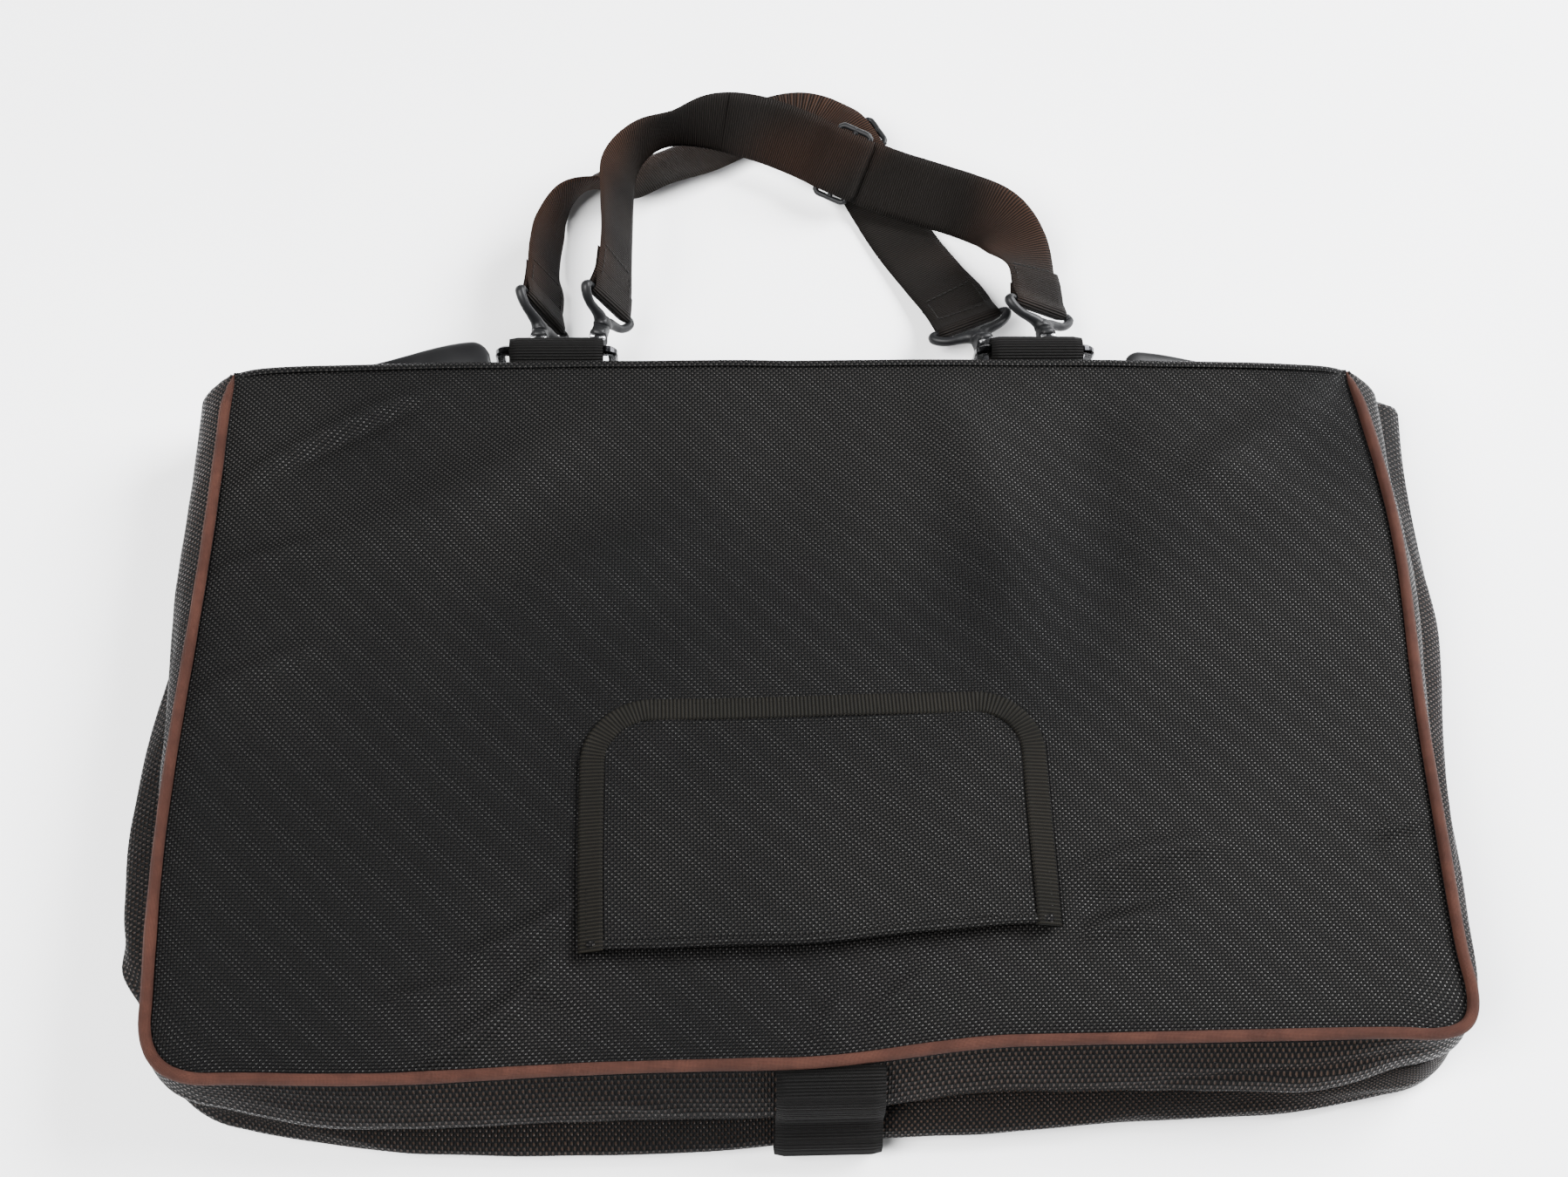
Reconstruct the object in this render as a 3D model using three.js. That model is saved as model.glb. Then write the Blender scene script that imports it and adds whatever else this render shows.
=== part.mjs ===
// A soft garment bag, folded in half and lying on its rear half.
// Millimetres. +X runs along the fold, +Y points from the near end to the fold, +Z is up.
// The origin is the centre of the rear panel's underside.
import * as THREE from "three";

// Driving dimensions of the folded bag
const WIDTH = 600;
const DEPTH = 380;
const HEIGHT = 58;
const CORNER_RADIUS = 28;
const FABRIC = 1.6;
const GAP = 0.3;
const FOLD_CLEARANCE = 0.5;
const HALF_GAP_LOW = 25.5;
const HALF_GAP_HIGH = 33.5;
const FOAM = 5;
const FRONT_BULGE = 9;
const REAR_BULGE = 26;
const PIPING_RADIUS = 2.2;
const PIPING_OVERLAP = 1;
const PIPING_CLEARANCE = 0.1;
const BINDING_DEPTH = 2;
const BINDING_PROUD = 0.6;
const BINDING_EDGE = -0.5;
const WEBBING = 1.8;
const STRAP_WIDTH = 38;
const TAB_WIDTH = 50;

// Places worked out from them
const HALF_WIDTH = WIDTH / 2;
const HALF_DEPTH = DEPTH / 2;
const PANEL_INSET = 1.5;
const FOAM_INSET = 6;
const INNER_INSET = 8;
const SPINE_Y = HALF_DEPTH + 0.4;
const SPINE_OUTER_Y = SPINE_Y + FABRIC;
const HINGE_Y = HALF_DEPTH + 1;

// The two webbing tabs and the metal rings that hang in them
const TAB_X = 130;
const RING_BAR = new THREE.Vector3(0, 206, 50.5);
const RING_WIRE = 5;
const RING_DEPTH = 24;
const RING_HANG = THREE.MathUtils.degToRad(80);
const RING_HALF_WIDTH = 30.3;
const WIRE_Y = RING_BAR.y + RING_DEPTH * Math.cos(RING_HANG);
const WIRE_Z = RING_BAR.z - RING_DEPTH * Math.sin(RING_HANG);

// Snap hooks, measured along the hook from the centre of the ring's wire
const HOOK_BOWL = 5;
const HOOK_OUTER = 10;
const HOOK_BASE = 19;
const HOOK_BARREL = 26;
const HOOK_FRAME = 31;
const HOOK_LENGTH = 44;
const HOOK_THICKNESS = 8;
const NECK_HALF = 4.5;
const BARREL_HALF = 5;
const FRAME_WIDTH = 50;

function material(color, roughness, metalness = 0) {
  return new THREE.MeshStandardMaterial({ color, roughness, metalness });
}

const nylon = material(0x1d1c1d, 0.85);
const lining = material(0x2b2a2c, 0.9);
const foam = material(0x3a3a3c, 0.95);
const brown = material(0x5d3a22, 0.8);
const webbing = material(0x1b1815, 0.8);
const binding = material(0x1a1916, 0.85);
const coated = material(0x111112, 0.35);
const plastic = material(0x17181a, 0.4);
const steel = material(0x9b9c9e, 0.3, 1);
const zipCoil = material(0x151515, 0.6);

const bag = new THREE.Group();

function add(name, geometry, mat, parent = bag) {
  const mesh = new THREE.Mesh(geometry, mat);
  mesh.name = name;
  parent.add(mesh);
  return mesh;
}

// The bag's outline: square at the fold, rounded at the near corners
function outline(inset) {
  const x = HALF_WIDTH - inset;
  const near = -HALF_DEPTH + inset;
  const far = HALF_DEPTH - FOLD_CLEARANCE;
  const r = CORNER_RADIUS - inset;
  const shape = new THREE.Shape();
  shape.moveTo(-x, far);
  shape.lineTo(-x, near + r);
  shape.absarc(-x + r, near + r, r, Math.PI, 1.5 * Math.PI, false);
  shape.lineTo(x - r, near);
  shape.absarc(x - r, near + r, r, 1.5 * Math.PI, 2 * Math.PI, false);
  shape.lineTo(x, far);
  shape.closePath();
  return shape;
}

function slab(shape, low, high, curveSegments = 6) {
  const geometry = new THREE.ExtrudeGeometry(shape, {
    depth: high - low,
    bevelEnabled: false,
    curveSegments,
  });
  return geometry.translate(0, 0, low);
}

function rectangle(x0, y0, x1, y1) {
  return new THREE.Shape([
    new THREE.Vector2(x0, y0),
    new THREE.Vector2(x1, y0),
    new THREE.Vector2(x1, y1),
    new THREE.Vector2(x0, y1),
  ]);
}

// A path that is cut exactly at its own stations, so that straight runs cost nothing
class StationPath extends THREE.Curve {
  constructor(stations) {
    super();
    this.stations = stations;
  }

  getPoint(t, target = new THREE.Vector3()) {
    const last = this.stations.length - 1;
    const i = Math.min(Math.floor(t * last + 1e-6), last - 1);
    const from = this.stations[i].point;
    const to = this.stations[i + 1].point;
    return target.copy(from).lerp(to, t * last - i);
  }

  getTangent(t, target = new THREE.Vector3()) {
    const i = Math.round(t * (this.stations.length - 1));
    return target.copy(this.stations[i].tangent);
  }

  getPointAt(u, target) {
    return this.getPoint(u, target);
  }

  getTangentAt(u, target) {
    return this.getTangent(u, target);
  }
}

// The U-shaped seam round a rectangle with two rounded near corners
function seamPath(halfWidth, near, far, radius, cornerSteps = 5) {
  const stations = [];
  const put = (x, y, tx, ty) =>
    stations.push({ point: new THREE.Vector3(x, y, 0), tangent: new THREE.Vector3(tx, ty, 0) });
  put(-halfWidth, far, 0, -1);
  for (let i = 0; i <= cornerSteps; i++) {
    const a = Math.PI + (i / cornerSteps) * (Math.PI / 2);
    put(
      -halfWidth + radius + radius * Math.cos(a),
      near + radius + radius * Math.sin(a),
      -Math.sin(a),
      Math.cos(a),
    );
  }
  put(0, near, 1, 0);
  for (let i = 0; i <= cornerSteps; i++) {
    const a = 1.5 * Math.PI + (i / cornerSteps) * (Math.PI / 2);
    put(
      halfWidth - radius + radius * Math.cos(a),
      near + radius + radius * Math.sin(a),
      -Math.sin(a),
      Math.cos(a),
    );
  }
  put(halfWidth, far, 0, 1);
  return new StationPath(stations);
}

const bagSeam = seamPath(HALF_WIDTH, -HALF_DEPTH, HALF_DEPTH - FOLD_CLEARANCE, CORNER_RADIUS);

// Sweeps a section round a seam. A section point is (outwards, up).
function sweep(section, path) {
  const shape = new THREE.Shape(section.map(([out, up]) => new THREE.Vector2(-up, -out)));
  return new THREE.ExtrudeGeometry(shape, { extrudePath: path, steps: path.stations.length - 1 });
}

function circleSection(out, up, radius, sides) {
  const points = [];
  for (let i = 0; i < sides; i++) {
    const a = (2 * Math.PI * i) / sides;
    points.push([out + radius * Math.cos(a), up + radius * Math.sin(a)]);
  }
  return points;
}

function rectangleSection(out0, out1, up0, up1) {
  return [
    [out0, up0],
    [out1, up0],
    [out1, up1],
    [out0, up1],
  ];
}

// A gusset's section is half of an elliptical ring that bulges outwards
function gussetSection(low, high, bulge) {
  const steps = 6;
  const middle = (low + high) / 2;
  const half = (high - low) / 2;
  const points = [];
  for (let i = 0; i <= steps; i++) {
    const a = -Math.PI / 2 + (Math.PI * i) / steps;
    points.push([bulge * Math.cos(a), middle + half * Math.sin(a)]);
  }
  for (let i = steps; i >= 0; i--) {
    const a = -Math.PI / 2 + (Math.PI * i) / steps;
    points.push([(bulge - FABRIC) * Math.cos(a), middle + (half - FABRIC) * Math.sin(a)]);
  }
  return points;
}

// One half of the bag: outer panel, foam, gusset, piping, lining and seam binding.
// outerZ is the outer face, innerZ the lining's face, and side is +1 where outer is above inner.
function half(prefix, outerZ, innerZ, side, bulge) {
  const level = (fromOuter) => outerZ - side * fromOuter;
  const between = (a, b) => [Math.min(level(a), level(b)), Math.max(level(a), level(b))];
  const pipe = PIPING_CLEARANCE + PIPING_RADIUS;
  const gussetStart = 2 * pipe + 2 * PIPING_CLEARANCE;
  const foamStart = FABRIC + GAP;
  const innerFace = Math.abs(outerZ - innerZ);
  const bindingStart = innerFace - BINDING_DEPTH + BINDING_PROUD;
  const bindingEnd = innerFace + BINDING_PROUD;
  add(`${prefix}_panel`, slab(outline(PANEL_INSET), ...between(0, FABRIC)), nylon);
  add(`${prefix}_foam`, slab(outline(FOAM_INSET), ...between(foamStart, foamStart + FOAM)), foam);
  add(
    `${prefix}_lining`,
    slab(outline(INNER_INSET), ...between(innerFace - FABRIC, innerFace)),
    lining,
  );
  const gusset = gussetSection(...between(gussetStart, bindingStart - GAP), bulge);
  add(`${prefix}_gusset`, sweep(gusset, bagSeam), nylon);
  const pipeOut = PIPING_RADIUS - PIPING_OVERLAP;
  const piping = circleSection(pipeOut, level(pipe), PIPING_RADIUS, 8);
  add(`${prefix}_piping`, sweep(piping, bagSeam), brown);
  const [tapeLow, tapeTop] = between(bindingStart, bindingEnd);
  const tape = rectangleSection(-INNER_INSET + GAP, BINDING_EDGE, tapeLow, tapeTop);
  add(`${prefix}_seam_binding`, sweep(tape, bagSeam), binding);
}

half("rear", 0, HALF_GAP_LOW, -1, REAR_BULGE);
half("front", HEIGHT, HALF_GAP_HIGH, 1, FRONT_BULGE);

// The fold: an upright spine and the rolled edge that the front half turns about
function foldSpine() {
  const rollRadius = 1.2;
  const bottom = 0.2;
  const top = HEIGHT - FABRIC;
  const wall = rectangle(-HALF_WIDTH, SPINE_Y, HALF_WIDTH, SPINE_OUTER_Y);
  add("fold_spine", slab(wall, bottom, top), nylon);
  const roll = new THREE.CylinderGeometry(rollRadius, rollRadius, WIDTH, 10);
  roll.rotateZ(Math.PI / 2);
  roll.translate(0, HINGE_Y, HEIGHT);
  add("fold_edge_roll", roll, nylon);
}

foldSpine();

// A webbing tab is a flat tail sewn to the spine and a loop round the ring's bar
function tab(name, x) {
  const loop = 5.6;
  const hole = 3.4;
  const tail = 3.2;
  const start = SPINE_OUTER_Y + GAP;
  const shape = new THREE.Shape();
  const y = RING_BAR.y;
  const z = RING_BAR.z;
  const a = Math.PI - Math.asin(tail / loop);
  shape.moveTo(start, z - tail);
  shape.lineTo(y + loop * Math.cos(a), z - tail);
  shape.absarc(y, z, loop, 2 * Math.PI - a, 2 * Math.PI + a, false);
  shape.lineTo(start, z + tail);
  shape.closePath();
  const bore = new THREE.Path();
  bore.absarc(y, z, hole, 0, 2 * Math.PI, true);
  shape.holes.push(bore);
  const geometry = new THREE.ExtrudeGeometry(shape, {
    depth: TAB_WIDTH,
    bevelEnabled: false,
    curveSegments: 12,
  });
  // The section is drawn in (y, z) and runs along x
  const turn = new THREE.Matrix4().makeBasis(
    new THREE.Vector3(0, 1, 0),
    new THREE.Vector3(0, 0, 1),
    new THREE.Vector3(1, 0, 0),
  );
  geometry.applyMatrix4(turn);
  geometry.translate(x - TAB_WIDTH / 2, 0, 0);
  add(name, geometry, webbing);
}

function roundedRectangle(x0, y0, x1, y1, r, PathClass = THREE.Shape) {
  const path = new PathClass();
  path.moveTo(x0 + r, y0);
  path.lineTo(x1 - r, y0);
  path.absarc(x1 - r, y0 + r, r, -Math.PI / 2, 0, false);
  path.lineTo(x1, y1 - r);
  path.absarc(x1 - r, y1 - r, r, 0, Math.PI / 2, false);
  path.lineTo(x0 + r, y1);
  path.absarc(x0 + r, y1 - r, r, Math.PI / 2, Math.PI, false);
  path.lineTo(x0, y0 + r);
  path.absarc(x0 + r, y0 + r, r, Math.PI, 1.5 * Math.PI, false);
  path.closePath();
  return path;
}

// A rectangular wire ring: its upper bar lies in the tab and its lower bar takes the hooks
function ring(name, x) {
  const half = RING_WIRE / 2;
  const bevel = 1.2;
  const outerRadius = 5;
  const innerRadius = 2;
  const outer = half - bevel;
  const shape = roundedRectangle(
    -RING_HALF_WIDTH - outer,
    -RING_DEPTH - outer,
    RING_HALF_WIDTH + outer,
    outer,
    outerRadius,
  );
  shape.holes.push(
    roundedRectangle(
      -RING_HALF_WIDTH + outer,
      -RING_DEPTH + outer,
      RING_HALF_WIDTH - outer,
      -outer,
      innerRadius,
      THREE.Path,
    ),
  );
  const geometry = new THREE.ExtrudeGeometry(shape, {
    depth: RING_WIRE - 2 * bevel,
    bevelEnabled: true,
    bevelSegments: 1,
    bevelSize: bevel,
    bevelThickness: bevel,
    curveSegments: 2,
  });
  geometry.translate(0, 0, -half + bevel);
  // Drawn with its depth along -y, which is then turned to the angle it hangs at
  geometry.rotateX(Math.PI - RING_HANG);
  add(name, geometry, steel).position.set(x, RING_BAR.y, RING_BAR.z);
}

for (const [side, sign] of [
  ["left", -1],
  ["right", 1],
]) {
  tab(`tab_${side}`, sign * TAB_X);
  ring(`ring_${side}`, sign * TAB_X);
}

// Smooth coated guards beside the tabs, highest at their rounded inner ends
function foldGuard(name, sign) {
  const inner = 168;
  const outer = 240;
  const reach = 16;
  const outerReach = 1.5;
  const y = SPINE_OUTER_Y + GAP;
  const r = 7;
  const low = HEIGHT - 9;
  const top = HEIGHT - 2;
  const shape = new THREE.Shape();
  shape.moveTo(inner, y);
  shape.lineTo(outer, y);
  shape.lineTo(outer, y + outerReach);
  shape.lineTo(inner + 2 * r, y + reach);
  shape.absarc(inner + r, y + reach - r, r, 0.45 * Math.PI, Math.PI, false);
  shape.closePath();
  const geometry = slab(shape, low, top, 5);
  if (sign < 0) {
    geometry.rotateY(Math.PI);
    geometry.translate(0, 0, low + top);
  }
  add(name, geometry, coated);
}

foldGuard("fold_guard_left", -1);
foldGuard("fold_guard_right", 1);

// The zip: a straight chain on each lining, one slider and its soft pull
const ZIP_END = 160;
const ZIP_WIDTH = 6;
const CHAIN_DEPTH = 2;
const SLIDER_WIDTH = 10;
const SLIDER_LENGTH = 13;
const SLIDER_DEPTH = 2.4;
const PULL_WIDTH = 8;
const PULL_LENGTH = 27.7;
const CHAIN_LOW = HALF_GAP_LOW + GAP;
const CHAIN_TOP = CHAIN_LOW + CHAIN_DEPTH;

function zip() {
  const chain = rectangle(-ZIP_WIDTH / 2, -ZIP_END, ZIP_WIDTH / 2, ZIP_END);
  add("zip_chain_rear", slab(chain, CHAIN_LOW, CHAIN_TOP), zipCoil);
  const upper = HALF_GAP_HIGH - GAP;
  add("zip_chain_front", slab(chain, upper - CHAIN_DEPTH, upper), zipCoil);
  const low = CHAIN_TOP + GAP;
  const near = -ZIP_END + 2;
  const across = SLIDER_WIDTH / 2;
  const slider = roundedRectangle(-across, near, across, near + SLIDER_LENGTH, 3);
  add("zip_slider", slab(slider, low, low + SLIDER_DEPTH, 3), steel);
  const end = near - GAP;
  const pull = roundedRectangle(-PULL_WIDTH / 2, end - PULL_LENGTH, PULL_WIDTH / 2, end, 3);
  add("zip_pull", slab(pull, low, low + WEBBING, 3), webbing);
}

zip();

// Inside the rear half, webbing ties with a buckle hold the clothes down
function garmentTies() {
  const low = FABRIC + GAP + FOAM + GAP;
  const top = low + 1.2;
  const y = 130;
  const halfWidth = 12.5;
  const reach = 282;
  const buckle = 22;
  const buckleHalfDepth = 15;
  const bevel = 1;
  const inner = buckle + GAP;
  const left = rectangle(-reach, y - halfWidth, -inner, y + halfWidth);
  add("tie_strap_left", slab(left, low, top), webbing);
  const right = rectangle(inner, y - halfWidth, reach, y + halfWidth);
  add("tie_strap_right", slab(right, low, top), webbing);
  const x = buckle - bevel;
  const half = buckleHalfDepth - bevel;
  const body = new THREE.ExtrudeGeometry(roundedRectangle(-x, y - half, x, y + half, 4), {
    depth: 4,
    bevelSegments: 1,
    bevelSize: bevel,
    bevelThickness: bevel,
    curveSegments: 3,
  });
  body.translate(0, 0, low + bevel);
  add("tie_buckle", body, plastic);
}

garmentTies();

// Inside the front half, a bracket at the near end takes the hangers
function hangerBracket() {
  const base = HALF_GAP_HIGH + FABRIC + GAP;
  const near = -HALF_DEPTH + 18;
  const halfWidth = 45;
  const depth = 34;
  const height = 8;
  const slotHalfWidth = 30;
  const slotNear = near + 12;
  const slotDepth = 8;
  const plate = roundedRectangle(-halfWidth, near, halfWidth, near + depth, 6);
  const slotFar = slotNear + slotDepth;
  plate.holes.push(
    roundedRectangle(-slotHalfWidth, slotNear, slotHalfWidth, slotFar, 3.5, THREE.Path),
  );
  add("hanger_bracket", slab(plate, base, base + height, 3), plastic);
}

hangerBracket();

// A patch pocket on the front panel. Tape binds its sides and round end; its near edge is open.
const POCKET_WIDTH = 224;
const POCKET_NEAR = -137;
const POCKET_FAR = -10;
const POCKET_RADIUS = 34;
const POCKET_DEPTH = 5;
const POCKET_PROUD = 0.4;
const PATCH_START = 6;
const HEM_RADIUS = 1.5;
const HEM_START = 4;
const HEM_LIFT = 1.2;

function pocket() {
  const x = POCKET_WIDTH / 2;
  const tape = 3;
  const low = HEIGHT + GAP;
  const top = HEIGHT + POCKET_DEPTH + FABRIC + POCKET_PROUD;
  // Seen from the near end the pocket is a seam path that opens towards -Y
  const path = seamPath(x, -POCKET_FAR, -POCKET_NEAR, POCKET_RADIUS, 6);
  const rim = sweep(rectangleSection(-tape, 0, low, top), path);
  rim.rotateZ(Math.PI);
  add("pocket_binding", rim, binding);
  const inset = tape + GAP;
  const r = POCKET_RADIUS - inset;
  const shape = new THREE.Shape();
  shape.moveTo(-x + inset, POCKET_NEAR + PATCH_START);
  shape.lineTo(x - inset, POCKET_NEAR + PATCH_START);
  shape.absarc(x - inset - r, POCKET_FAR - inset - r, r, 0, Math.PI / 2, false);
  shape.absarc(-x + inset + r, POCKET_FAR - inset - r, r, Math.PI / 2, Math.PI, false);
  shape.closePath();
  const patchLow = HEIGHT + POCKET_DEPTH;
  add("pocket_patch", slab(shape, patchLow, patchLow + FABRIC, 3), nylon);
  const hem = new THREE.CylinderGeometry(HEM_RADIUS, HEM_RADIUS, 2 * (x - inset), 10);
  hem.rotateZ(Math.PI / 2);
  hem.translate(0, POCKET_NEAR + HEM_START, patchLow + HEM_LIFT);
  add("pocket_hem", hem, nylon);
}

pocket();

// A flat band with a given width direction at each station
function band(stations, width, thickness) {
  const positions = [];
  const index = [];
  for (const { point, across, normal } of stations) {
    for (const [a, n] of [
      [1, 1],
      [-1, 1],
      [-1, -1],
      [1, -1],
    ]) {
      const corner = point.clone();
      corner.addScaledVector(across, (a * width) / 2);
      corner.addScaledVector(normal, (n * thickness) / 2);
      positions.push(corner.x, corner.y, corner.z);
    }
  }
  for (let i = 0; i + 1 < stations.length; i++) {
    for (let k = 0; k < 4; k++) {
      const a = 4 * i + k;
      const b = 4 * i + ((k + 1) % 4);
      index.push(a, b, b + 4);
      index.push(a, b + 4, a + 4);
    }
  }
  const end = 4 * (stations.length - 1);
  index.push(0, 3, 2, 0, 2, 1);
  index.push(end, end + 1, end + 2, end, end + 2, end + 3);
  const geometry = new THREE.BufferGeometry();
  geometry.setAttribute("position", new THREE.Float32BufferAttribute(positions, 3));
  geometry.setIndex(index);
  geometry.computeVertexNormals();
  return geometry;
}

// The closure strap is sewn under the front piping and hangs over both gussets
function closureStrap() {
  const points = [
    [-194.6, 53.2],
    [-200.6, 48.5],
    [-202.4, 43.5],
    [-201.4, 38],
    [-201.4, 32],
    [-205, 27],
    [-212, 22.8],
    [-217, 19],
    [-219.6, 14],
    [-218.6, 8.5],
  ];
  const curve = new THREE.CatmullRomCurve3(points.map(([y, z]) => new THREE.Vector3(0, y, z)));
  const across = new THREE.Vector3(-1, 0, 0);
  const steps = 18;
  const stations = [];
  for (let i = 0; i <= steps; i++) {
    const tangent = curve.getTangentAt(i / steps);
    const normal = tangent.clone().cross(across);
    stations.push({ point: curve.getPointAt(i / steps), across, normal });
  }
  add("closure_strap", band(stations, TAB_WIDTH, FABRIC), webbing);
}

closureStrap();

// Carrying straps. Each point is x, y, z and the tilt of the webbing in degrees: 0 lies flat,
// 90 stands on edge with its left edge up, as seen by someone walking along the strap.
const FRONT_STRAP = [
  [-99, 262, 38, 62],
  [-98, 286, 38, 64],
  [-98, 312, 38, 62],
  [-97, 338, 37, 62],
  [-87, 360, 36, 82],
  [-68, 375, 34, 98],
  [-43, 382, 33, 74],
  [-18, 380, 30, 52],
  [8, 370, 28, 44],
  [34, 357, 25, 42],
  [58, 346, 23, 41],
  [82, 337, 22, 41],
  [104, 328, 22, 43],
  [120, 317, 24, 28],
  [130, 299, 26, 0],
  [137, 277, 27, -34],
];
const REAR_STRAP = [
  [-138, 274, 22, 60],
  [-139, 290, 21, 66],
  [-137, 308, 20, 70],
  [-130, 328, 20, 84],
  [-118, 343, 17, 116],
  [-107, 351, 11, 148],
  [-94, 357, 8, 163],
  [-73, 366, 9, 158],
  [-50, 377, 8, 163],
  [-28, 392, 7.5, 170],
  [-6, 403, 8, 178],
  [14, 404, 9, 187],
  [32, 392, 9, 191],
  [45, 370, 7, 190],
  [56, 344, 5, 187],
  [69, 316, 3.5, 182],
  [84, 288, 6, 182],
  [94, 268, 11, 186],
];

function strapStations(route, steps) {
  const curve = new THREE.CatmullRomCurve3(route.map(([x, y, z]) => new THREE.Vector3(x, y, z)));
  const tilts = new THREE.CatmullRomCurve3(route.map((p, i) => new THREE.Vector3(i, p[3], 0)));
  const up = new THREE.Vector3(0, 0, 1);
  const stations = [];
  for (let i = 0; i <= steps; i++) {
    const t = i / steps;
    const tangent = curve.getTangent(t);
    const left = up.clone().cross(tangent).normalize();
    const above = tangent.clone().cross(left);
    const tilt = THREE.MathUtils.degToRad(tilts.getPoint(t).y);
    const across = left.multiplyScalar(Math.cos(tilt)).addScaledVector(above, Math.sin(tilt));
    const normal = tangent.clone().cross(across);
    stations.push({ point: curve.getPoint(t), across, normal, tangent });
  }
  return stations;
}

// A three-bar slide adjuster that lies on the upper face of a strap
function adjuster(name, station) {
  const x = 24;
  const y = 11;
  const thick = 3.4;
  const clear = 1.9;
  const slotX = 20;
  const slotY = 4.8;
  const slotHalf = 2.8;
  const shape = roundedRectangle(-x, -y, x, y, 4);
  for (const centre of [-slotY, slotY]) {
    const low = centre - slotHalf;
    const high = centre + slotHalf;
    shape.holes.push(roundedRectangle(-slotX, low, slotX, high, 1.5, THREE.Path));
  }
  const geometry = slab(shape, 0, thick, 3);
  const facing = station.normal.z < 0 ? -1 : 1;
  const normal = station.normal.clone().multiplyScalar(facing);
  const along = normal.clone().cross(station.across);
  const place = new THREE.Matrix4().makeBasis(station.across, along, normal);
  geometry.applyMatrix4(place);
  const base = station.point.clone().addScaledVector(normal, WEBBING / 2 + clear);
  add(name, geometry, plastic).position.copy(base);
}

// Draws a shape's outline through points
function through(points) {
  return new THREE.Shape(points.map(([x, y]) => new THREE.Vector2(x, y)));
}

// The hook proper: a bowl round the wire and a base that ends in a barrel
function hookShape() {
  const shoulder = HOOK_BASE + 4;
  const shoulderHalf = HOOK_OUTER - 2.5;
  const neck = HOOK_BARREL - 1;
  const baseHalf = HOOK_OUTER - 0.5;
  const lip = HOOK_OUTER - 1.5;
  const body = through([
    [HOOK_BASE, -baseHalf],
    [shoulder, -shoulderHalf],
    [neck, -NECK_HALF],
    [HOOK_BARREL, -NECK_HALF],
    [HOOK_BARREL, NECK_HALF],
    [neck, NECK_HALF],
    [shoulder, shoulderHalf],
    [HOOK_BASE, baseHalf],
    [HOOK_BASE, -HOOK_BOWL],
    [0, -HOOK_BOWL],
  ]);
  body.absarc(0, 0, HOOK_BOWL, 1.5 * Math.PI, 0.5 * Math.PI, true);
  body.lineTo(3.4, HOOK_BOWL);
  body.lineTo(4, lip);
  body.lineTo(0, HOOK_OUTER);
  body.absarc(0, 0, HOOK_OUTER, 0.5 * Math.PI, 1.5 * Math.PI, false);
  body.closePath();
  return body;
}

// The frame that takes the webbing: a short barrel and a slotted plate in one moulding
function frameShape() {
  const start = HOOK_BARREL + GAP;
  const half = FRAME_WIDTH / 2;
  const flare = HOOK_FRAME + 2;
  const side = HOOK_FRAME + 5;
  const chamfer = 2;
  const plate = through([
    [start, -BARREL_HALF],
    [HOOK_FRAME, -BARREL_HALF],
    [flare, -half + 3],
    [side, -half],
    [HOOK_LENGTH - chamfer, -half],
    [HOOK_LENGTH, -half + chamfer],
    [HOOK_LENGTH, half - chamfer],
    [HOOK_LENGTH - chamfer, half],
    [side, half],
    [flare, half - 3],
    [HOOK_FRAME, BARREL_HALF],
    [start, BARREL_HALF],
  ]);
  const slotHalf = 20.5;
  const slotStart = HOOK_FRAME + 4;
  const slotEnd = HOOK_LENGTH - 4;
  plate.holes.push(roundedRectangle(slotStart, -slotHalf, slotEnd, slotHalf, 2, THREE.Path));
  return plate;
}

// A snap hook in its own axes: x from the ring's wire to the strap, z along the wire and
// y square to both. Its frame is turned about x to the strap's own angle.
function snapHook(name, wire, end) {
  const along = end.point.clone().sub(wire).normalize();
  const side = new THREE.Vector3(1, 0, 0);
  side.addScaledVector(along, -side.dot(along)).normalize();
  const across = side.clone().cross(along);
  const hook = new THREE.Group();
  hook.matrixAutoUpdate = false;
  hook.matrix.makeBasis(along, across, side).setPosition(wire);
  bag.add(hook);

  const half = HOOK_THICKNESS / 2;
  add(`${name}_body`, slab(hookShape(), -half, half, 8), plastic, hook);

  const gateStart = 4.4;
  const gateLow = HOOK_BOWL + GAP;
  const gateTop = HOOK_OUTER - 1.3;
  const gateHalf = half - 1;
  const gate = roundedRectangle(gateStart, gateLow, HOOK_BASE - 0.4, gateTop, 1.4);
  add(`${name}_gate`, slab(gate, -gateHalf, gateHalf, 3), plastic, hook);

  const frameHalf = 3.5;
  const frame = slab(frameShape(), -frameHalf, frameHalf, 3);
  const wide = end.across.clone().addScaledVector(along, -end.across.dot(along)).normalize();
  frame.rotateX(Math.atan2(wide.dot(side), wide.dot(across)));
  add(`${name}_frame`, frame, plastic, hook);
}

// The webbing starts just past a hook's frame, on the line from the ring's wire to the route
function strapEnd(wire, [x, y, z, tilt]) {
  const toRoute = new THREE.Vector3(x, y, z).sub(wire);
  const end = wire.clone().addScaledVector(toRoute.normalize(), HOOK_LENGTH + GAP);
  return [end.x, end.y, end.z, tilt];
}

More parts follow.
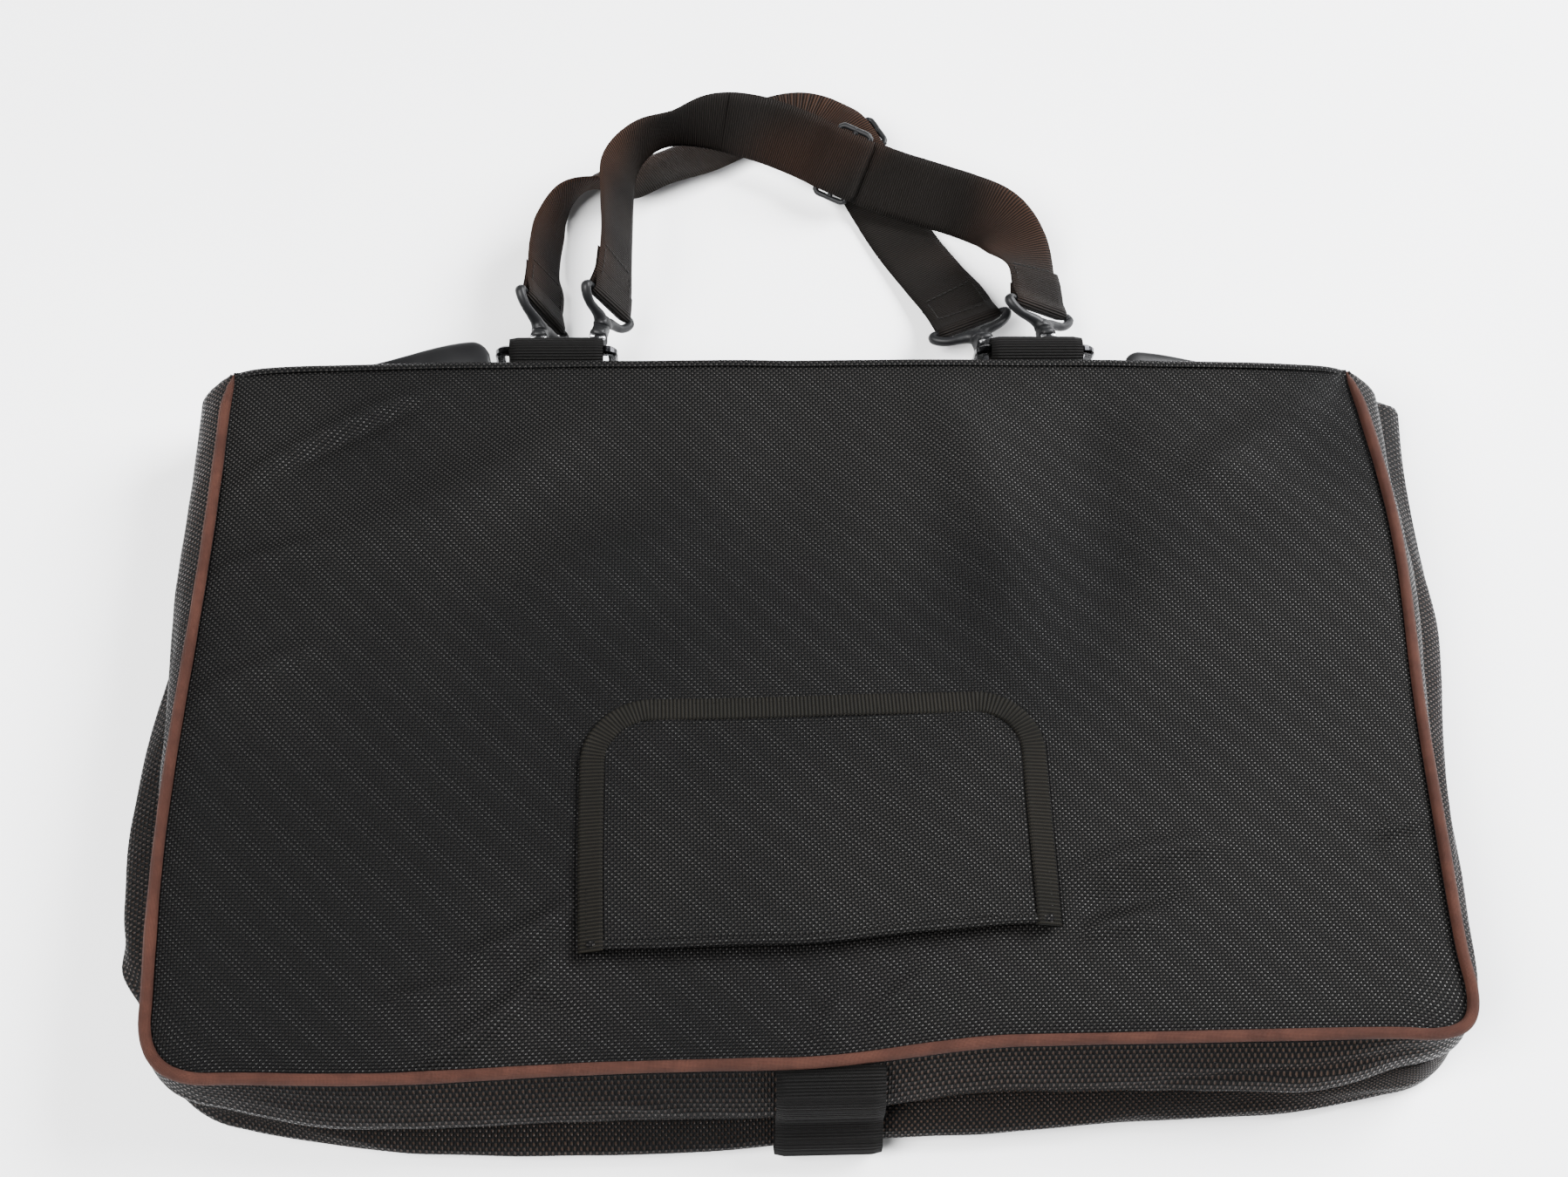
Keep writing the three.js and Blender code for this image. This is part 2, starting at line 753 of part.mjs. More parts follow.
// One strap: its webbing, its adjuster and a hook on each end
function carryStrap(name, route, hookX, adjusterAt) {
  const [leftWire, rightWire] = hookX.map((x) => new THREE.Vector3(x, WIRE_Y, WIRE_Z));
  const whole = [strapEnd(leftWire, route[0]), ...route, strapEnd(rightWire, route.at(-1))];
  const steps = 2 * (whole.length - 1);
  const stations = strapStations(whole, steps);
  add(`${name}_webbing`, band(stations, STRAP_WIDTH, WEBBING), webbing);
  adjuster(`${name}_adjuster`, stations[Math.round(adjusterAt * steps)]);
  snapHook(`${name}_hook_left`, leftWire, stations[0]);
  snapHook(`${name}_hook_right`, rightWire, stations[steps]);
}

carryStrap("front_strap", FRONT_STRAP, [-113, 143], 0.6);
carryStrap("rear_strap", REAR_STRAP, [-142, 113], 0.7);

export default bag;
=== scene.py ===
"""The looks of a soft garment bag, folded in half and lying on its rear half.

Lengths in the code are millimetres in the row frame; MM turns them into metres.
"""
import math

import bpy
import numpy as np
from mathutils import Matrix, Vector


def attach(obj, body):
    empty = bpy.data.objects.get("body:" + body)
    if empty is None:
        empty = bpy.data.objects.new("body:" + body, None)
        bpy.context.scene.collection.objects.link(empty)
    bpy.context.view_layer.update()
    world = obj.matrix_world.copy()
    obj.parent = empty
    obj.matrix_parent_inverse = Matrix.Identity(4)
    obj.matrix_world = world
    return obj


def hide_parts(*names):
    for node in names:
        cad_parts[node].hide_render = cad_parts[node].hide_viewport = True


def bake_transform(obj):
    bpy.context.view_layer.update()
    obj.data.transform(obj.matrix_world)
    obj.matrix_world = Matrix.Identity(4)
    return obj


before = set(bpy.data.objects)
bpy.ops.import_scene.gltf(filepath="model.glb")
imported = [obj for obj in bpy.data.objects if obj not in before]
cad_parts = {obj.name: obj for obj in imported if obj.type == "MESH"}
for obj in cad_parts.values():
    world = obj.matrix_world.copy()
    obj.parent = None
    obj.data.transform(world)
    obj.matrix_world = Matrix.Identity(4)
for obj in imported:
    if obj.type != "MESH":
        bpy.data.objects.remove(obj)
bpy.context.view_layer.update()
MM = 0.001


# ---- camera
def make_camera(place, yaw, pitch, roll, lens):
    """A camera at place (mm) that looks along yaw and down by pitch (degrees)."""
    yaw, pitch, roll = (math.radians(a) for a in (yaw, pitch, roll))
    data = bpy.data.cameras.new("camera")
    data.lens = lens
    data.sensor_width = 36.0
    data.clip_start = 0.05
    camera = bpy.data.objects.new("camera", data)
    camera.matrix_world = (
        Matrix.Translation(Vector(place) * MM) @ Matrix.Rotation(-yaw, 4, "Z")
        @ Matrix.Rotation(math.pi / 2 - pitch, 4, "X") @ Matrix.Rotation(roll, 4, "Z"))
    bpy.context.scene.collection.objects.link(camera)
    bpy.context.scene.camera = camera


make_camera((-77.5, -507.4, 1055.6), 6.558, 60.482, 5.231, 52.06)


# ---- materials
class Nodes:
    """A short way to write a material's node tree."""

    def __init__(self, name):
        self.material = bpy.data.materials.new(name)
        self.material.use_nodes = True
        self.tree = self.material.node_tree
        self.shader = next(n for n in self.tree.nodes if n.type == "BSDF_PRINCIPLED")

    def new(self, kind, **settings):
        node = self.tree.nodes.new("ShaderNode" + kind)
        for key, value in settings.items():
            setattr(node, key, value)
        return node

    def put(self, socket, value):
        if isinstance(value, bpy.types.NodeSocket):
            self.tree.links.new(value, socket)
        else:
            socket.default_value = value

    def math(self, operation, a, b=0.0, c=0.0):
        node = self.new("Math", operation=operation)
        for socket, value in zip(node.inputs, (a, b, c)):
            self.put(socket, value)
        return node.outputs[0]

    def uv(self):
        """The piece's own cloth coordinates, in millimetres, as (along, across)."""
        pin = self.new("UVMap", uv_map="cloth")
        split = self.new("SeparateXYZ")
        self.put(split.inputs[0], pin.outputs["UV"])
        return split.outputs[0], split.outputs[1]

    def wave(self, value, pitch):
        """A sine that repeats every pitch millimetres."""
        return self.math("SINE", self.math("MULTIPLY", value, 2 * math.pi / pitch))

    def noise(self, scale, detail=2.0, roughness=0.5):
        place = self.new("TexCoord")
        node = self.new("TexNoise")
        self.put(node.inputs["Vector"], place.outputs["Object"])
        self.put(node.inputs["Scale"], scale)
        self.put(node.inputs["Detail"], detail)
        self.put(node.inputs["Roughness"], roughness)
        return node.outputs["Fac"]

    def span(self, value, low, high, to_low=0.0, to_high=1.0):
        node = self.new("MapRange", interpolation_type="SMOOTHSTEP")
        for key, v in (("Value", value), ("From Min", low), ("From Max", high),
                       ("To Min", to_low), ("To Max", to_high)):
            self.put(node.inputs[key], v)
        return node.outputs["Result"]

    def mix(self, factor, a, b):
        node = self.new("Mix", data_type="RGBA")
        self.put(node.inputs[0], factor)
        for socket, value in zip(node.inputs[6:8], (a, b)):
            self.put(socket, value if isinstance(value, bpy.types.NodeSocket) else (*value, 1.0))
        return node.outputs[2]

    def bump(self, height, distance, strength=1.0):
        node = self.new("Bump")
        self.put(node.inputs["Height"], height)
        self.put(node.inputs["Distance"], distance * MM)
        self.put(node.inputs["Strength"], strength)
        return node.outputs["Normal"]

    def finish(self, colour, roughness, normal, metallic=0.0, specular=0.5, sheen=0.0):
        inputs = self.shader.inputs
        self.put(inputs["Base Color"], colour)
        self.put(inputs["Roughness"], roughness)
        inputs["Metallic"].default_value = metallic
        inputs["Specular IOR Level"].default_value = specular
        inputs["Sheen Weight"].default_value = sheen
        self.put(inputs["Normal"], normal)
        return self.material


def scaled(colour, factor):
    return tuple(factor * c for c in colour)


def ballistic_nylon(name, painted_sheen, cell=1.45):
    """Basket-woven nylon: raised cells, every other one with its yarns across the light and painted
    lighter there as a glint in the given sheen colour.
    """
    m = Nodes(name)
    u, v = m.uv()
    product = m.math("MULTIPLY", m.wave(u, 2 * cell), m.wave(v, 2 * cell))
    raised = m.math("POWER", m.math("ABSOLUTE", product), 0.6)
    warp = m.span(product, 0.12, 0.55)
    yarns = m.math("MULTIPLY", m.wave(m.math("ADD", u, v), cell * 0.7), 0.08)
    height = m.math("ADD", m.math("MULTIPLY_ADD", warp, 0.5, raised), yarns)
    cloud = m.span(m.noise(5.0, 2.0), 0.34, 0.66)
    dark = m.mix(cloud, (0.0003, 0.0003, 0.0004), (0.0006, 0.0006, 0.0006))
    # Painted glint: the raised cells whose yarns lie across the light get this lighter colour
    light = m.mix(cloud, scaled(painted_sheen, 0.6), scaled(painted_sheen, 1.5))
    colour = m.mix(m.math("MULTIPLY", warp, raised), dark, light)
    rough = m.span(warp, 0.0, 1.0, 0.62, 0.22)
    return m.finish(colour, rough, m.bump(height, 0.32, 1.0), specular=0.06)


def ribbed_webbing(name, base, painted_sheen, pitch=1.3, sheen_patch_scale=7.0):
    """Webbing with ribs across it and a fine weave along it; a painted warm sheen shows in soft
    patches, with painted highlights on the raised weave and painted shade in the rib grooves.
    """
    m = Nodes(name)
    u, v = m.uv()
    ribs = m.wave(u, pitch)
    yarns = m.wave(v, 0.9)
    weave = m.math("MULTIPLY", ribs, yarns)
    # Painted warm sheen: the second colour shows in soft patches
    sheen_patches = m.span(m.noise(sheen_patch_scale, 1.5), 0.44, 0.62)
    colour = m.mix(sheen_patches, base, painted_sheen)
    # Painted highlight on the raised weave, then painted shade in the rib grooves
    lit = m.mix(m.span(weave, -1.0, 1.0), colour, scaled(base, 1.7))
    shade = m.mix(m.span(ribs, -0.9, 0.5), scaled(base, 0.25), lit)
    height = m.math("MULTIPLY_ADD", weave, 0.35, ribs)
    return m.finish(shade, 0.72, m.bump(height, 0.3, 1.0), specular=0.07)


def piping_cloth():
    m = Nodes("piping_cloth")
    u, v = m.uv()
    one = m.wave(m.math("ADD", u, v), 1.0)
    two = m.wave(m.math("SUBTRACT", u, v), 1.0)
    weave = m.math("MULTIPLY", one, two)
    worn = m.noise(60.0, 4.0, 0.6)
    base = m.mix(m.span(worn, 0.35, 0.7), (0.040, 0.0140, 0.0088), (0.074, 0.0275, 0.0172))
    # Painted shade in the weave's hollows, where the bump height is low
    colour = m.mix(m.span(weave, -0.6, 0.8), (0.018, 0.006, 0.004), base)
    return m.finish(colour, 0.75, m.bump(weave, 0.22, 1.0), specular=0.12)


def lining_cloth():
    m = Nodes("lining_cloth")
    u, v = m.uv()
    weave = m.math("ADD", m.wave(u, 0.8), m.wave(v, 0.8))
    colour = m.mix(m.span(m.noise(12.0), 0.3, 0.7), (0.006, 0.0056, 0.0064),
                   (0.010, 0.0094, 0.0108))
    return m.finish(colour, 0.6, m.bump(weave, 0.05, 0.6), specular=0.12, sheen=0.01)


def coated_cloth():
    """Smooth coated cloth with a faint grain, worn a little paler at random."""
    m = Nodes("coated_cloth")
    grain = m.noise(900.0, 3.0, 0.6)
    colour = m.mix(m.span(m.noise(25.0), 0.35, 0.75), (0.0020, 0.0020, 0.0023),
                   (0.0036, 0.0036, 0.0038))
    rough = m.span(m.noise(40.0), 0.3, 0.7, 0.36, 0.48)
    return m.finish(colour, rough, m.bump(grain, 0.06, 0.5), specular=0.2)


def moulded_plastic(name, tone):
    m = Nodes(name)
    grain = m.noise(1400.0, 2.0)
    scuffs = m.span(m.noise(120.0, 4.0, 0.7), 0.55, 0.8)
    colour = m.mix(scuffs, tone, scaled(tone, 1.9))
    rough = m.span(scuffs, 0.0, 1.0, 0.46, 0.62)
    return m.finish(colour, rough, m.bump(grain, 0.03, 0.4), specular=0.15)


def plated_steel(name, plain, worn):
    m = Nodes(name)
    scratches = m.noise(300.0, 5.0, 0.7)
    colour = m.mix(m.span(scratches, 0.5, 0.8), plain, worn)
    rough = m.span(scratches, 0.3, 0.7, 0.18, 0.34)
    return m.finish(colour, rough, m.bump(scratches, 0.02, 0.4), metallic=1.0)


def thread_cotton():
    m = Nodes("sewing_thread")
    twist = m.noise(1500.0, 1.0)
    colour = m.mix(twist, (0.0020, 0.0018, 0.0017), (0.0055, 0.0050, 0.0046))
    return m.finish(colour, 0.6, m.bump(twist, 0.05, 0.5), specular=0.15)


# Nylon: the second colour is the painted glint on the raised cells; the gusset's brown one is a
# painted warm sheen
NYLON = ballistic_nylon("ballistic_nylon", (0.0115, 0.0107, 0.0100))
GUSSET_NYLON_PAINTED_SHEEN = ballistic_nylon("gusset_nylon_painted_sheen", (0.0180, 0.0118, 0.0090))
# Webbing: the second colour is a painted warm sheen in soft patches, brown on the straps and paler
# on tabs and tape
WEBBING = ribbed_webbing("strap_webbing", (0.0046, 0.0036, 0.0030), (0.034, 0.0125, 0.0052))
TAB_CLOTH = ribbed_webbing("tab_webbing", (0.0019, 0.0018, 0.0017), (0.0030, 0.0025, 0.0021), 1.5)
TAPE = ribbed_webbing("binding_tape", (0.0034, 0.0031, 0.0023), (0.0060, 0.0050, 0.0036),
                      1.88, 14.0)
PIPING = piping_cloth()
LINING = lining_cloth()
COATED = coated_cloth()
PLASTIC = moulded_plastic("moulded_plastic", (0.0042, 0.0043, 0.0047))
STEEL = plated_steel("plated_steel", (0.50, 0.50, 0.51), (0.72, 0.72, 0.73))
THREAD = thread_cotton()
GUNMETAL = plated_steel("gunmetal", (0.014, 0.014, 0.015), (0.07, 0.07, 0.075))
ZIP_COIL = moulded_plastic("zip_coil_nylon", (0.012, 0.012, 0.013))


# ---- mesh helpers
def piece(name, shape, material, body=None, slot=None, *replaces, smooth=True):
    """A mesh object from (points in mm, faces, cloth coordinates or None)."""
    verts, faces, uvs = shape
    mesh = bpy.data.meshes.new(name)
    verts = np.asarray(verts, float).reshape(-1, 3) * MM
    mesh.from_pydata(verts.tolist(), [], [list(map(int, f)) for f in faces])
    mesh.update()
    if uvs is not None:
        uvs = np.asarray(uvs, np.float32).reshape(-1, 2)
        layer = mesh.uv_layers.new(name="cloth")
        loops = np.zeros(len(mesh.loops), np.int32)
        mesh.loops.foreach_get("vertex_index", loops)
        layer.data.foreach_set("uv", uvs[loops].ravel())
    mesh.polygons.foreach_set("use_smooth", [smooth] * len(mesh.polygons))
    mesh.materials.append(material)
    obj = bpy.data.objects.new(name, mesh)
    bpy.context.scene.collection.objects.link(obj)
    if body:
        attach(obj, body)
    if replaces:
        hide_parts(*replaces)
    return obj


def unit(v):
    """The vector, or each row of an array of them, at length 1."""
    v = np.asarray(v, float)
    return v / (np.linalg.norm(v, axis=-1, keepdims=True) + 1e-12)


def directions(path):
    return unit(np.gradient(path, axis=0))


def lengths_along(path):
    return np.concatenate([[0], np.cumsum(np.linalg.norm(np.diff(path, axis=0), axis=1))])


def read_at(at, along, values):
    """The rows of values, known at along, read at other lengths."""
    return np.stack([np.interp(at, along, column) for column in values.T], 1)


def even(path, step, *others):
    """path, and arrays that go with it, resampled to points about step apart."""
    along = lengths_along(path)
    at = np.linspace(0, along[-1], max(2, int(round(along[-1] / step)) + 1))
    return [read_at(at, along, values) for values in (path, *others)]


def grid_faces(rows, columns, wrap=False):
    """Quads of a rows × columns grid of points; wrap joins the last column to the first."""
    i = np.arange(rows - 1)[:, None]
    j = np.arange(columns if wrap else columns - 1)[None, :]
    k = (j + 1) % columns
    a, b = i * columns + j, i * columns + k
    c, d = (i + 1) * columns + k, (i + 1) * columns + j
    return np.stack([a, b, c, d], -1).reshape(-1, 4).tolist()


def tube_faces(rings, sides):
    """Quads round a tube of rings, and a cap at each end."""
    last = (rings - 1) * sides
    caps = [list(range(sides))[::-1], [last + i for i in range(sides)]]
    return grid_faces(rings, sides, wrap=True) + caps


def turned(faces):
    return [f[::-1] for f in faces]


def between(top, low, uvs):
    """A closed form from an upper and a lower grid of points, joined all round the rim."""
    rows, columns = top.shape[:2]
    count = rows * columns
    faces = grid_faces(rows, columns)
    faces += [[x + count for x in f] for f in turned(faces)]
    index = np.arange(count).reshape(rows, columns)
    rim = [*index[0], *index[1:, -1], *index[-1, -2::-1], *index[-2:0:-1, 0]]
    for a, b in zip(rim, rim[1:] + rim[:1]):
        faces.append([a + count, b + count, b, a])
    verts = np.concatenate([top.reshape(-1, 3), low.reshape(-1, 3)])
    return verts, faces, np.concatenate([uvs.reshape(-1, 2)] * 2)


def cloth_shell(points, uvs, thickness):
    """A closed sheet: points is a rows × columns grid of its outer face."""
    normal = unit(np.cross(np.gradient(points, axis=1), np.gradient(points, axis=0)))
    verts, faces, uvs = between(points, points - normal * thickness, uvs)
    return verts, turned(faces), uvs


def tube(path, radius, sides=12, side=None, above=None, flat=1.0):
    """A closed tube with rounded ends. radius may vary along the path; flat scales the
    tube's height. side and above are its two cross directions, worked out if not given."""
    tangent = directions(path)
    if side is None:
        side = unit(np.cross(tangent, (0.03, 0.02, 1.0)))
        above = np.cross(side, tangent)
    radius = np.broadcast_to(np.asarray(radius, float), (len(path),))
    path = np.vstack([path[0] - tangent[0] * radius[0] * 0.35, path,
                      path[-1] + tangent[-1] * radius[-1] * 0.35])
    radius = np.concatenate([[radius[0] * 0.62], radius, [radius[-1] * 0.62]])
    side, above = (np.vstack([a[:1], a, a[-1:]]) for a in (side, above))
    angle = np.linspace(0, 2 * np.pi, sides, endpoint=False)
    ring = (np.cos(angle)[None, :, None] * side[:, None] * radius[:, None, None]
            + flat * np.sin(angle)[None, :, None] * above[:, None] * radius[:, None, None])
    uvs = np.stack(np.meshgrid(lengths_along(path), angle * radius.mean(), indexing="ij"), -1)
    return path[:, None] + ring, tube_faces(len(path), sides), uvs


def band(path, across, width, thickness, rib=None, columns=10):
    """Flat webbing with rounded edges. across is the width direction at each point;
    rib is (pitch, height) for ribs across its width."""
    tangent = directions(path)
    across = unit(across - tangent * np.sum(across * tangent, axis=1, keepdims=True))
    normal = np.cross(tangent, across)
    along = lengths_along(path)
    lift = np.zeros(len(path))
    if rib:
        lift = rib[1] * (0.5 + 0.5 * np.cos(2 * np.pi * along / rib[0]))
    s = np.linspace(-1, 1, columns)
    edge = np.sqrt(np.clip(1 - np.abs(s) ** 14, 0, 1)) * 0.5 + 0.02
    half = thickness * edge[None, :] + lift[:, None] * (np.abs(s) < 0.96)
    height = np.concatenate([half, -half[:, ::-1]], axis=1)
    v = np.concatenate([s, s[::-1]]) * width / 2
    ring = path[:, None] + across[:, None] * v[None, :, None] + normal[:, None] * height[..., None]
    uvs = np.stack(np.broadcast_arrays(along[:, None], v[None, :]), -1)
    return ring, turned(tube_faces(len(path), len(v))), uvs


def catmull_rom(points, steps):
    """A smooth curve through points, with steps pieces between each pair."""
    points = np.asarray(points, float)
    ghost = np.vstack([2 * points[0] - points[1], points, 2 * points[-1] - points[-2]])
    out = []
    for i in range(1, len(ghost) - 2):
        p0, p1, p2, p3 = ghost[i - 1:i + 3]
        for t in np.arange(steps) / steps:
            out.append(0.5 * (2 * p1 + (p2 - p0) * t + (2 * p0 - 5 * p1 + 4 * p2 - p3) * t ** 2
                              + (3 * p1 - p0 - 3 * p2 + p3) * t ** 3))
    out.append(ghost[-2])
    return np.array(out)


def bell(x, centre, width):
    return np.exp(-((x - centre) / width) ** 2)


def smooth_step(x, low, high):
    t = np.clip((x - low) / (high - low), 0, 1)
    return t * t * (3 - 2 * t)


def waves(x, y, seed, scale, count=7):
    """Smooth, repeatable noise of about ±1: a sum of waves in seeded directions."""
    rng = np.random.default_rng(seed)
    total = 0
    for _ in range(count):
        angle, phase = rng.uniform(0, 2 * np.pi, 2)
        pitch = scale * rng.uniform(0.7, 1.6)
        total = total + np.sin(2 * np.pi * (x * np.cos(angle) + y * np.sin(angle)) / pitch + phase)
    return total / math.sqrt(count)


def ridge(x, y, start, end, width, height, bow=0.0):
    """A soft ridge (or, with a negative height, a valley) from start to end."""
    a, b = np.array(start, float), np.array(end, float)
    length = np.linalg.norm(b - a)
    ux, uy = (b - a) / length
    s = ((x - a[0]) * ux + (y - a[1]) * uy) / length
    d = -(x - a[0]) * uy + (y - a[1]) * ux - bow * 4 * s * (1 - s)
    ends = smooth_step(s, -0.15, 0.25) * (1 - smooth_step(s, 0.7, 1.15))
    return height * np.exp(-(d / width) ** 2) * ends


# ---- the carrying straps (cords)
STRAP_WIDTH = 38.0
STRAP_THICKNESS = 1.5
RIB_PITCH = 1.26
STEP = 0.42          # between the points along webbing
HOOK_LENGTH = 44.3   # from the ring's wire to the end of the hook's frame
BAR_AT = 42.0        # from the ring's wire to the frame's bar
WIRE_Y, WIRE_Z = 210.168, 26.865
FRONT_ROUTE = [
    (-99, 262, 38, 62), (-98, 286, 38, 64), (-98, 312, 38, 62), (-97, 338, 37, 62),
    (-87, 360, 36, 82), (-68, 375, 34, 98), (-43, 382, 33, 74), (-18, 380, 30, 52),
    (8, 370, 28, 44), (34, 357, 25, 42), (58, 346, 23, 41), (82, 337, 22, 41),
    (104, 328, 22, 43), (120, 317, 24, 28), (130, 299, 26, 0), (137, 277, 27, -34)]
REAR_ROUTE = [
    (-138, 274, 22, 60), (-139, 290, 21, 66), (-137, 308, 20, 70), (-130, 328, 20, 84),
    (-118, 343, 17, 116), (-107, 351, 11, 148), (-94, 357, 8, 163), (-73, 366, 9, 158),
    (-50, 377, 8, 163), (-28, 392, 7.5, 170), (-6, 403, 8, 178), (14, 404, 9, 187),
    (32, 392, 9, 191), (45, 370, 7, 190), (56, 344, 5, 187), (69, 316, 3.5, 182),
    (84, 288, 6, 182), (94, 268, 11, 186)]


def ring_wire(x):
    """The middle of a ring's lower bar, where a hook hangs."""
    return np.array([x, WIRE_Y, WIRE_Z])


def strap_end(wire_x, point):
    """Where the webbing leaves a hook's frame, on the line from the ring's wire."""
    wire = ring_wire(wire_x)
    return (*(wire + unit(np.array(point[:3]) - wire) * HOOK_LENGTH), point[3])


def strap_course(route, hooks):
    """The strap's centreline, its width direction, its normal and its tangent."""
    whole = np.array([strap_end(hooks[0], route[0]), *route, strap_end(hooks[1], route[-1])])
    course = catmull_rom(whole, 24)
    path, tilt = course[:, :3], np.radians(course[:, 3:])
    tangent = directions(path)
    left = unit(np.cross((0, 0, 1), tangent))
    across = left * np.cos(tilt) + np.cross(tangent, left) * np.sin(tilt)
    path, across = even(path, STEP, across)
    across, tangent = unit(across), directions(path)
    return path, across, np.cross(tangent, across), tangent


def placed(points, origin, axes):
    """Points given along three axes, put into the row frame."""
    return np.asarray(origin, float) + np.asarray(points, float) @ np.array(axes, float)


def facing_out(faces, axes):
    """The faces, turned round where the three axes are left-handed."""
    return turned(faces) if np.dot(np.cross(axes[0], axes[1]), axes[2]) < 0 else faces


def arc(centre, radius, start, stop, steps):
    a = np.radians(np.linspace(start, stop, steps))
    return [(centre[0] + radius * math.cos(x), centre[1] + radius * math.sin(x)) for x in a]


def lofted(stations, axes, origin, sides=28, power=4.0, middle=(0, 0)):
    """A closed solid of rounded-rectangle sections, for moulded shapes. Each station is
    (along, half width, half thickness), and may add its own middle."""
    a = np.linspace(0, 2 * np.pi, sides, endpoint=False)
    cs = np.sign(np.cos(a)) * np.abs(np.cos(a)) ** (2 / power)
    sn = np.sign(np.sin(a)) * np.abs(np.sin(a)) ** (2 / power)
    rings = []
    for station in stations:
        x, wide, thick, mid_wide, mid_thick = (*station, *middle)[:5]
        rings.append(np.stack([np.full(sides, x), mid_wide + wide * cs, mid_thick + thick * sn], 1))
    points = placed(np.concatenate(rings), origin, axes)
    return points, facing_out(tube_faces(len(rings), sides), axes), None


def join_parts(parts):
    """Several closed shells as one mesh, with cloth coordinates if each part has them."""
    faces, start = [], 0
    for verts, part_faces, _ in parts:
        faces += [[x + start for x in face] for face in part_faces]
        start += verts.size // 3
    verts = np.concatenate([part[0].reshape(-1, 3) for part in parts])
    if any(part[2] is None for part in parts):
        return verts, faces, None
    return verts, faces, np.concatenate([part[2].reshape(-1, 2) for part in parts])


def plane_tube(points, radius, axes, origin, sides=14, flat=1.0, step=0.8, height=0.0):
    """A tube along a smooth route in the plane of the first two axes; flat squashes or
    thickens it along the third."""
    course = catmull_rom([(x, y, 0) for x, y in points], 10)
    radius = np.atleast_1d(radius)
    radius = np.interp(np.linspace(0, 1, len(course)), np.linspace(0, 1, len(radius)), radius)
    course, radius = even(course, step, radius[:, None])
    course[:, 2] = height
    tangent = directions(course)
    side = np.stack([tangent[:, 1], -tangent[:, 0], np.zeros(len(tangent))], 1)
    above = np.tile((0.0, 0.0, 1.0), (len(course), 1))
    verts, faces, _ = tube(course, radius[:, 0], sides, side, above, flat)
    return placed(verts, origin, axes), facing_out(faces, axes), None


def hook_axes(wire, end, end_across):
    """Along a hook from the ring to the webbing, across the webbing, and through it."""
    along = unit(end - wire)
    wide = unit(end_across - along * np.dot(end_across, along))
    return along, wide, np.cross(along, wide)


def snap_hook(name, wire_x, end, end_across):
    """A moulded snap hook on the ring's wire: a hook with a sprung gate, and a frame that
    swivels on its neck and takes the webbing."""
    wire = ring_wire(wire_x)
    frame_axes = hook_axes(wire, end, end_across)
    along = frame_axes[0]
    side = unit(np.array([1.0, 0, 0]) - along * along[0])
    across = np.cross(side, along)
    axes = (along, across, side)

    bend = ([(20.5, -6.9), (15, -7.4), (8, -7.5), (3, -7.5)]
            + arc((0, 0), 7.5, -90, -270, 9) + [(2.6, 7.7)])
    bow = plane_tube(bend, [2.7, 2.5, 2.45, 2.45, 2.45, 2.45, 2.4, 2.2], axes, wire, flat=1.5)
    base = lofted([(17.6, 8.2, 3.0), (18.2, 9.2, 3.9), (20.5, 9.6, 4.3), (22.6, 8.0, 4.4),
                   (24.4, 5.4, 4.5), (26.0, 4.6, 4.6)], axes, wire)
    rib = lofted([(19.0, 8.9, 4.75), (19.3, 9.1, 4.95), (20.2, 9.1, 4.95), (20.5, 8.9, 4.75)],
                 axes, wire)
    hook = piece(f"{name}_hook", join_parts([bow, base, rib]), PLASTIC, "carry_straps",
                 "plastic", f"{name}_body")

    bar = plane_tube([(17.6, 6.6), (14, 6.9), (9, 7.0), (5.0, 7.0)], [1.5, 1.6, 1.6, 1.4],
                     axes, wire, flat=1.7)
    ridges = []
    for k in range(6):
        x = 7.2 + 1.45 * k
        ridges.append(plane_tube([(x, 7.4), (x + 0.1, 9.0), (x + 0.2, 10.2 - 0.18 * abs(k - 2.5))],
                                 [0.62, 0.62, 0.55], axes, wire, 8, flat=4.2, step=0.5))
    thumb = plane_tube([(6.6, 8.2), (10.8, 8.9), (15.0, 8.2)], [0.8, 1.0, 0.8], axes, wire,
                       flat=2.6)
    lever = piece(f"{name}_lever", join_parts([bar, *ridges, thumb]), PLASTIC,
                  f"{name}_gate_body", "plastic", f"{name}_gate")
    pin = lofted([(16.3, 4.3, 0.9), (16.5, 4.5, 1.1), (17.9, 4.5, 1.1), (18.1, 4.3, 0.9)],
                 (along, side, across), wire, 16, 3.0, (0, 6.85))
    collar = plane_tube([(25.7, 0), (26.9, 0)], 3.7, axes, wire, 20, step=0.4)
    metal = piece(f"{name}_pin", join_parts([pin, collar]), STEEL, "carry_straps", "steel")

    arm = [(28.5, 1.6), (31.0, 5.0), (32.2, 10.5), (33.4, 16.0), (36.4, 20.6), (39.8, 22.9),
           (42.0, 21.2)]
    frame_parts = [plane_tube([(x, s * y) for x, y in arm], [3.6, 3.1, 2.5, 2.3, 2.5, 2.6, 2.1],
                              frame_axes, wire, flat=1.15) for s in (1, -1)]
    frame_parts.append(plane_tube([(BAR_AT, -21.5), (BAR_AT, 0), (BAR_AT, 21.5)], 1.95,
                                  frame_axes, wire, flat=1.1))
    frame_parts.append(lofted([(26.3, 4.3, 4.3), (27.0, 4.9, 4.7), (29.6, 5.2, 4.3),
                               (31.6, 4.8, 3.4), (32.4, 3.9, 2.6)], frame_axes, wire, power=2.6))
    swivel = piece(f"{name}_swivel", join_parts(frame_parts), PLASTIC, "carry_straps", "plastic",
                   f"{name}_frame")
    return [hook, lever, metal, swivel]


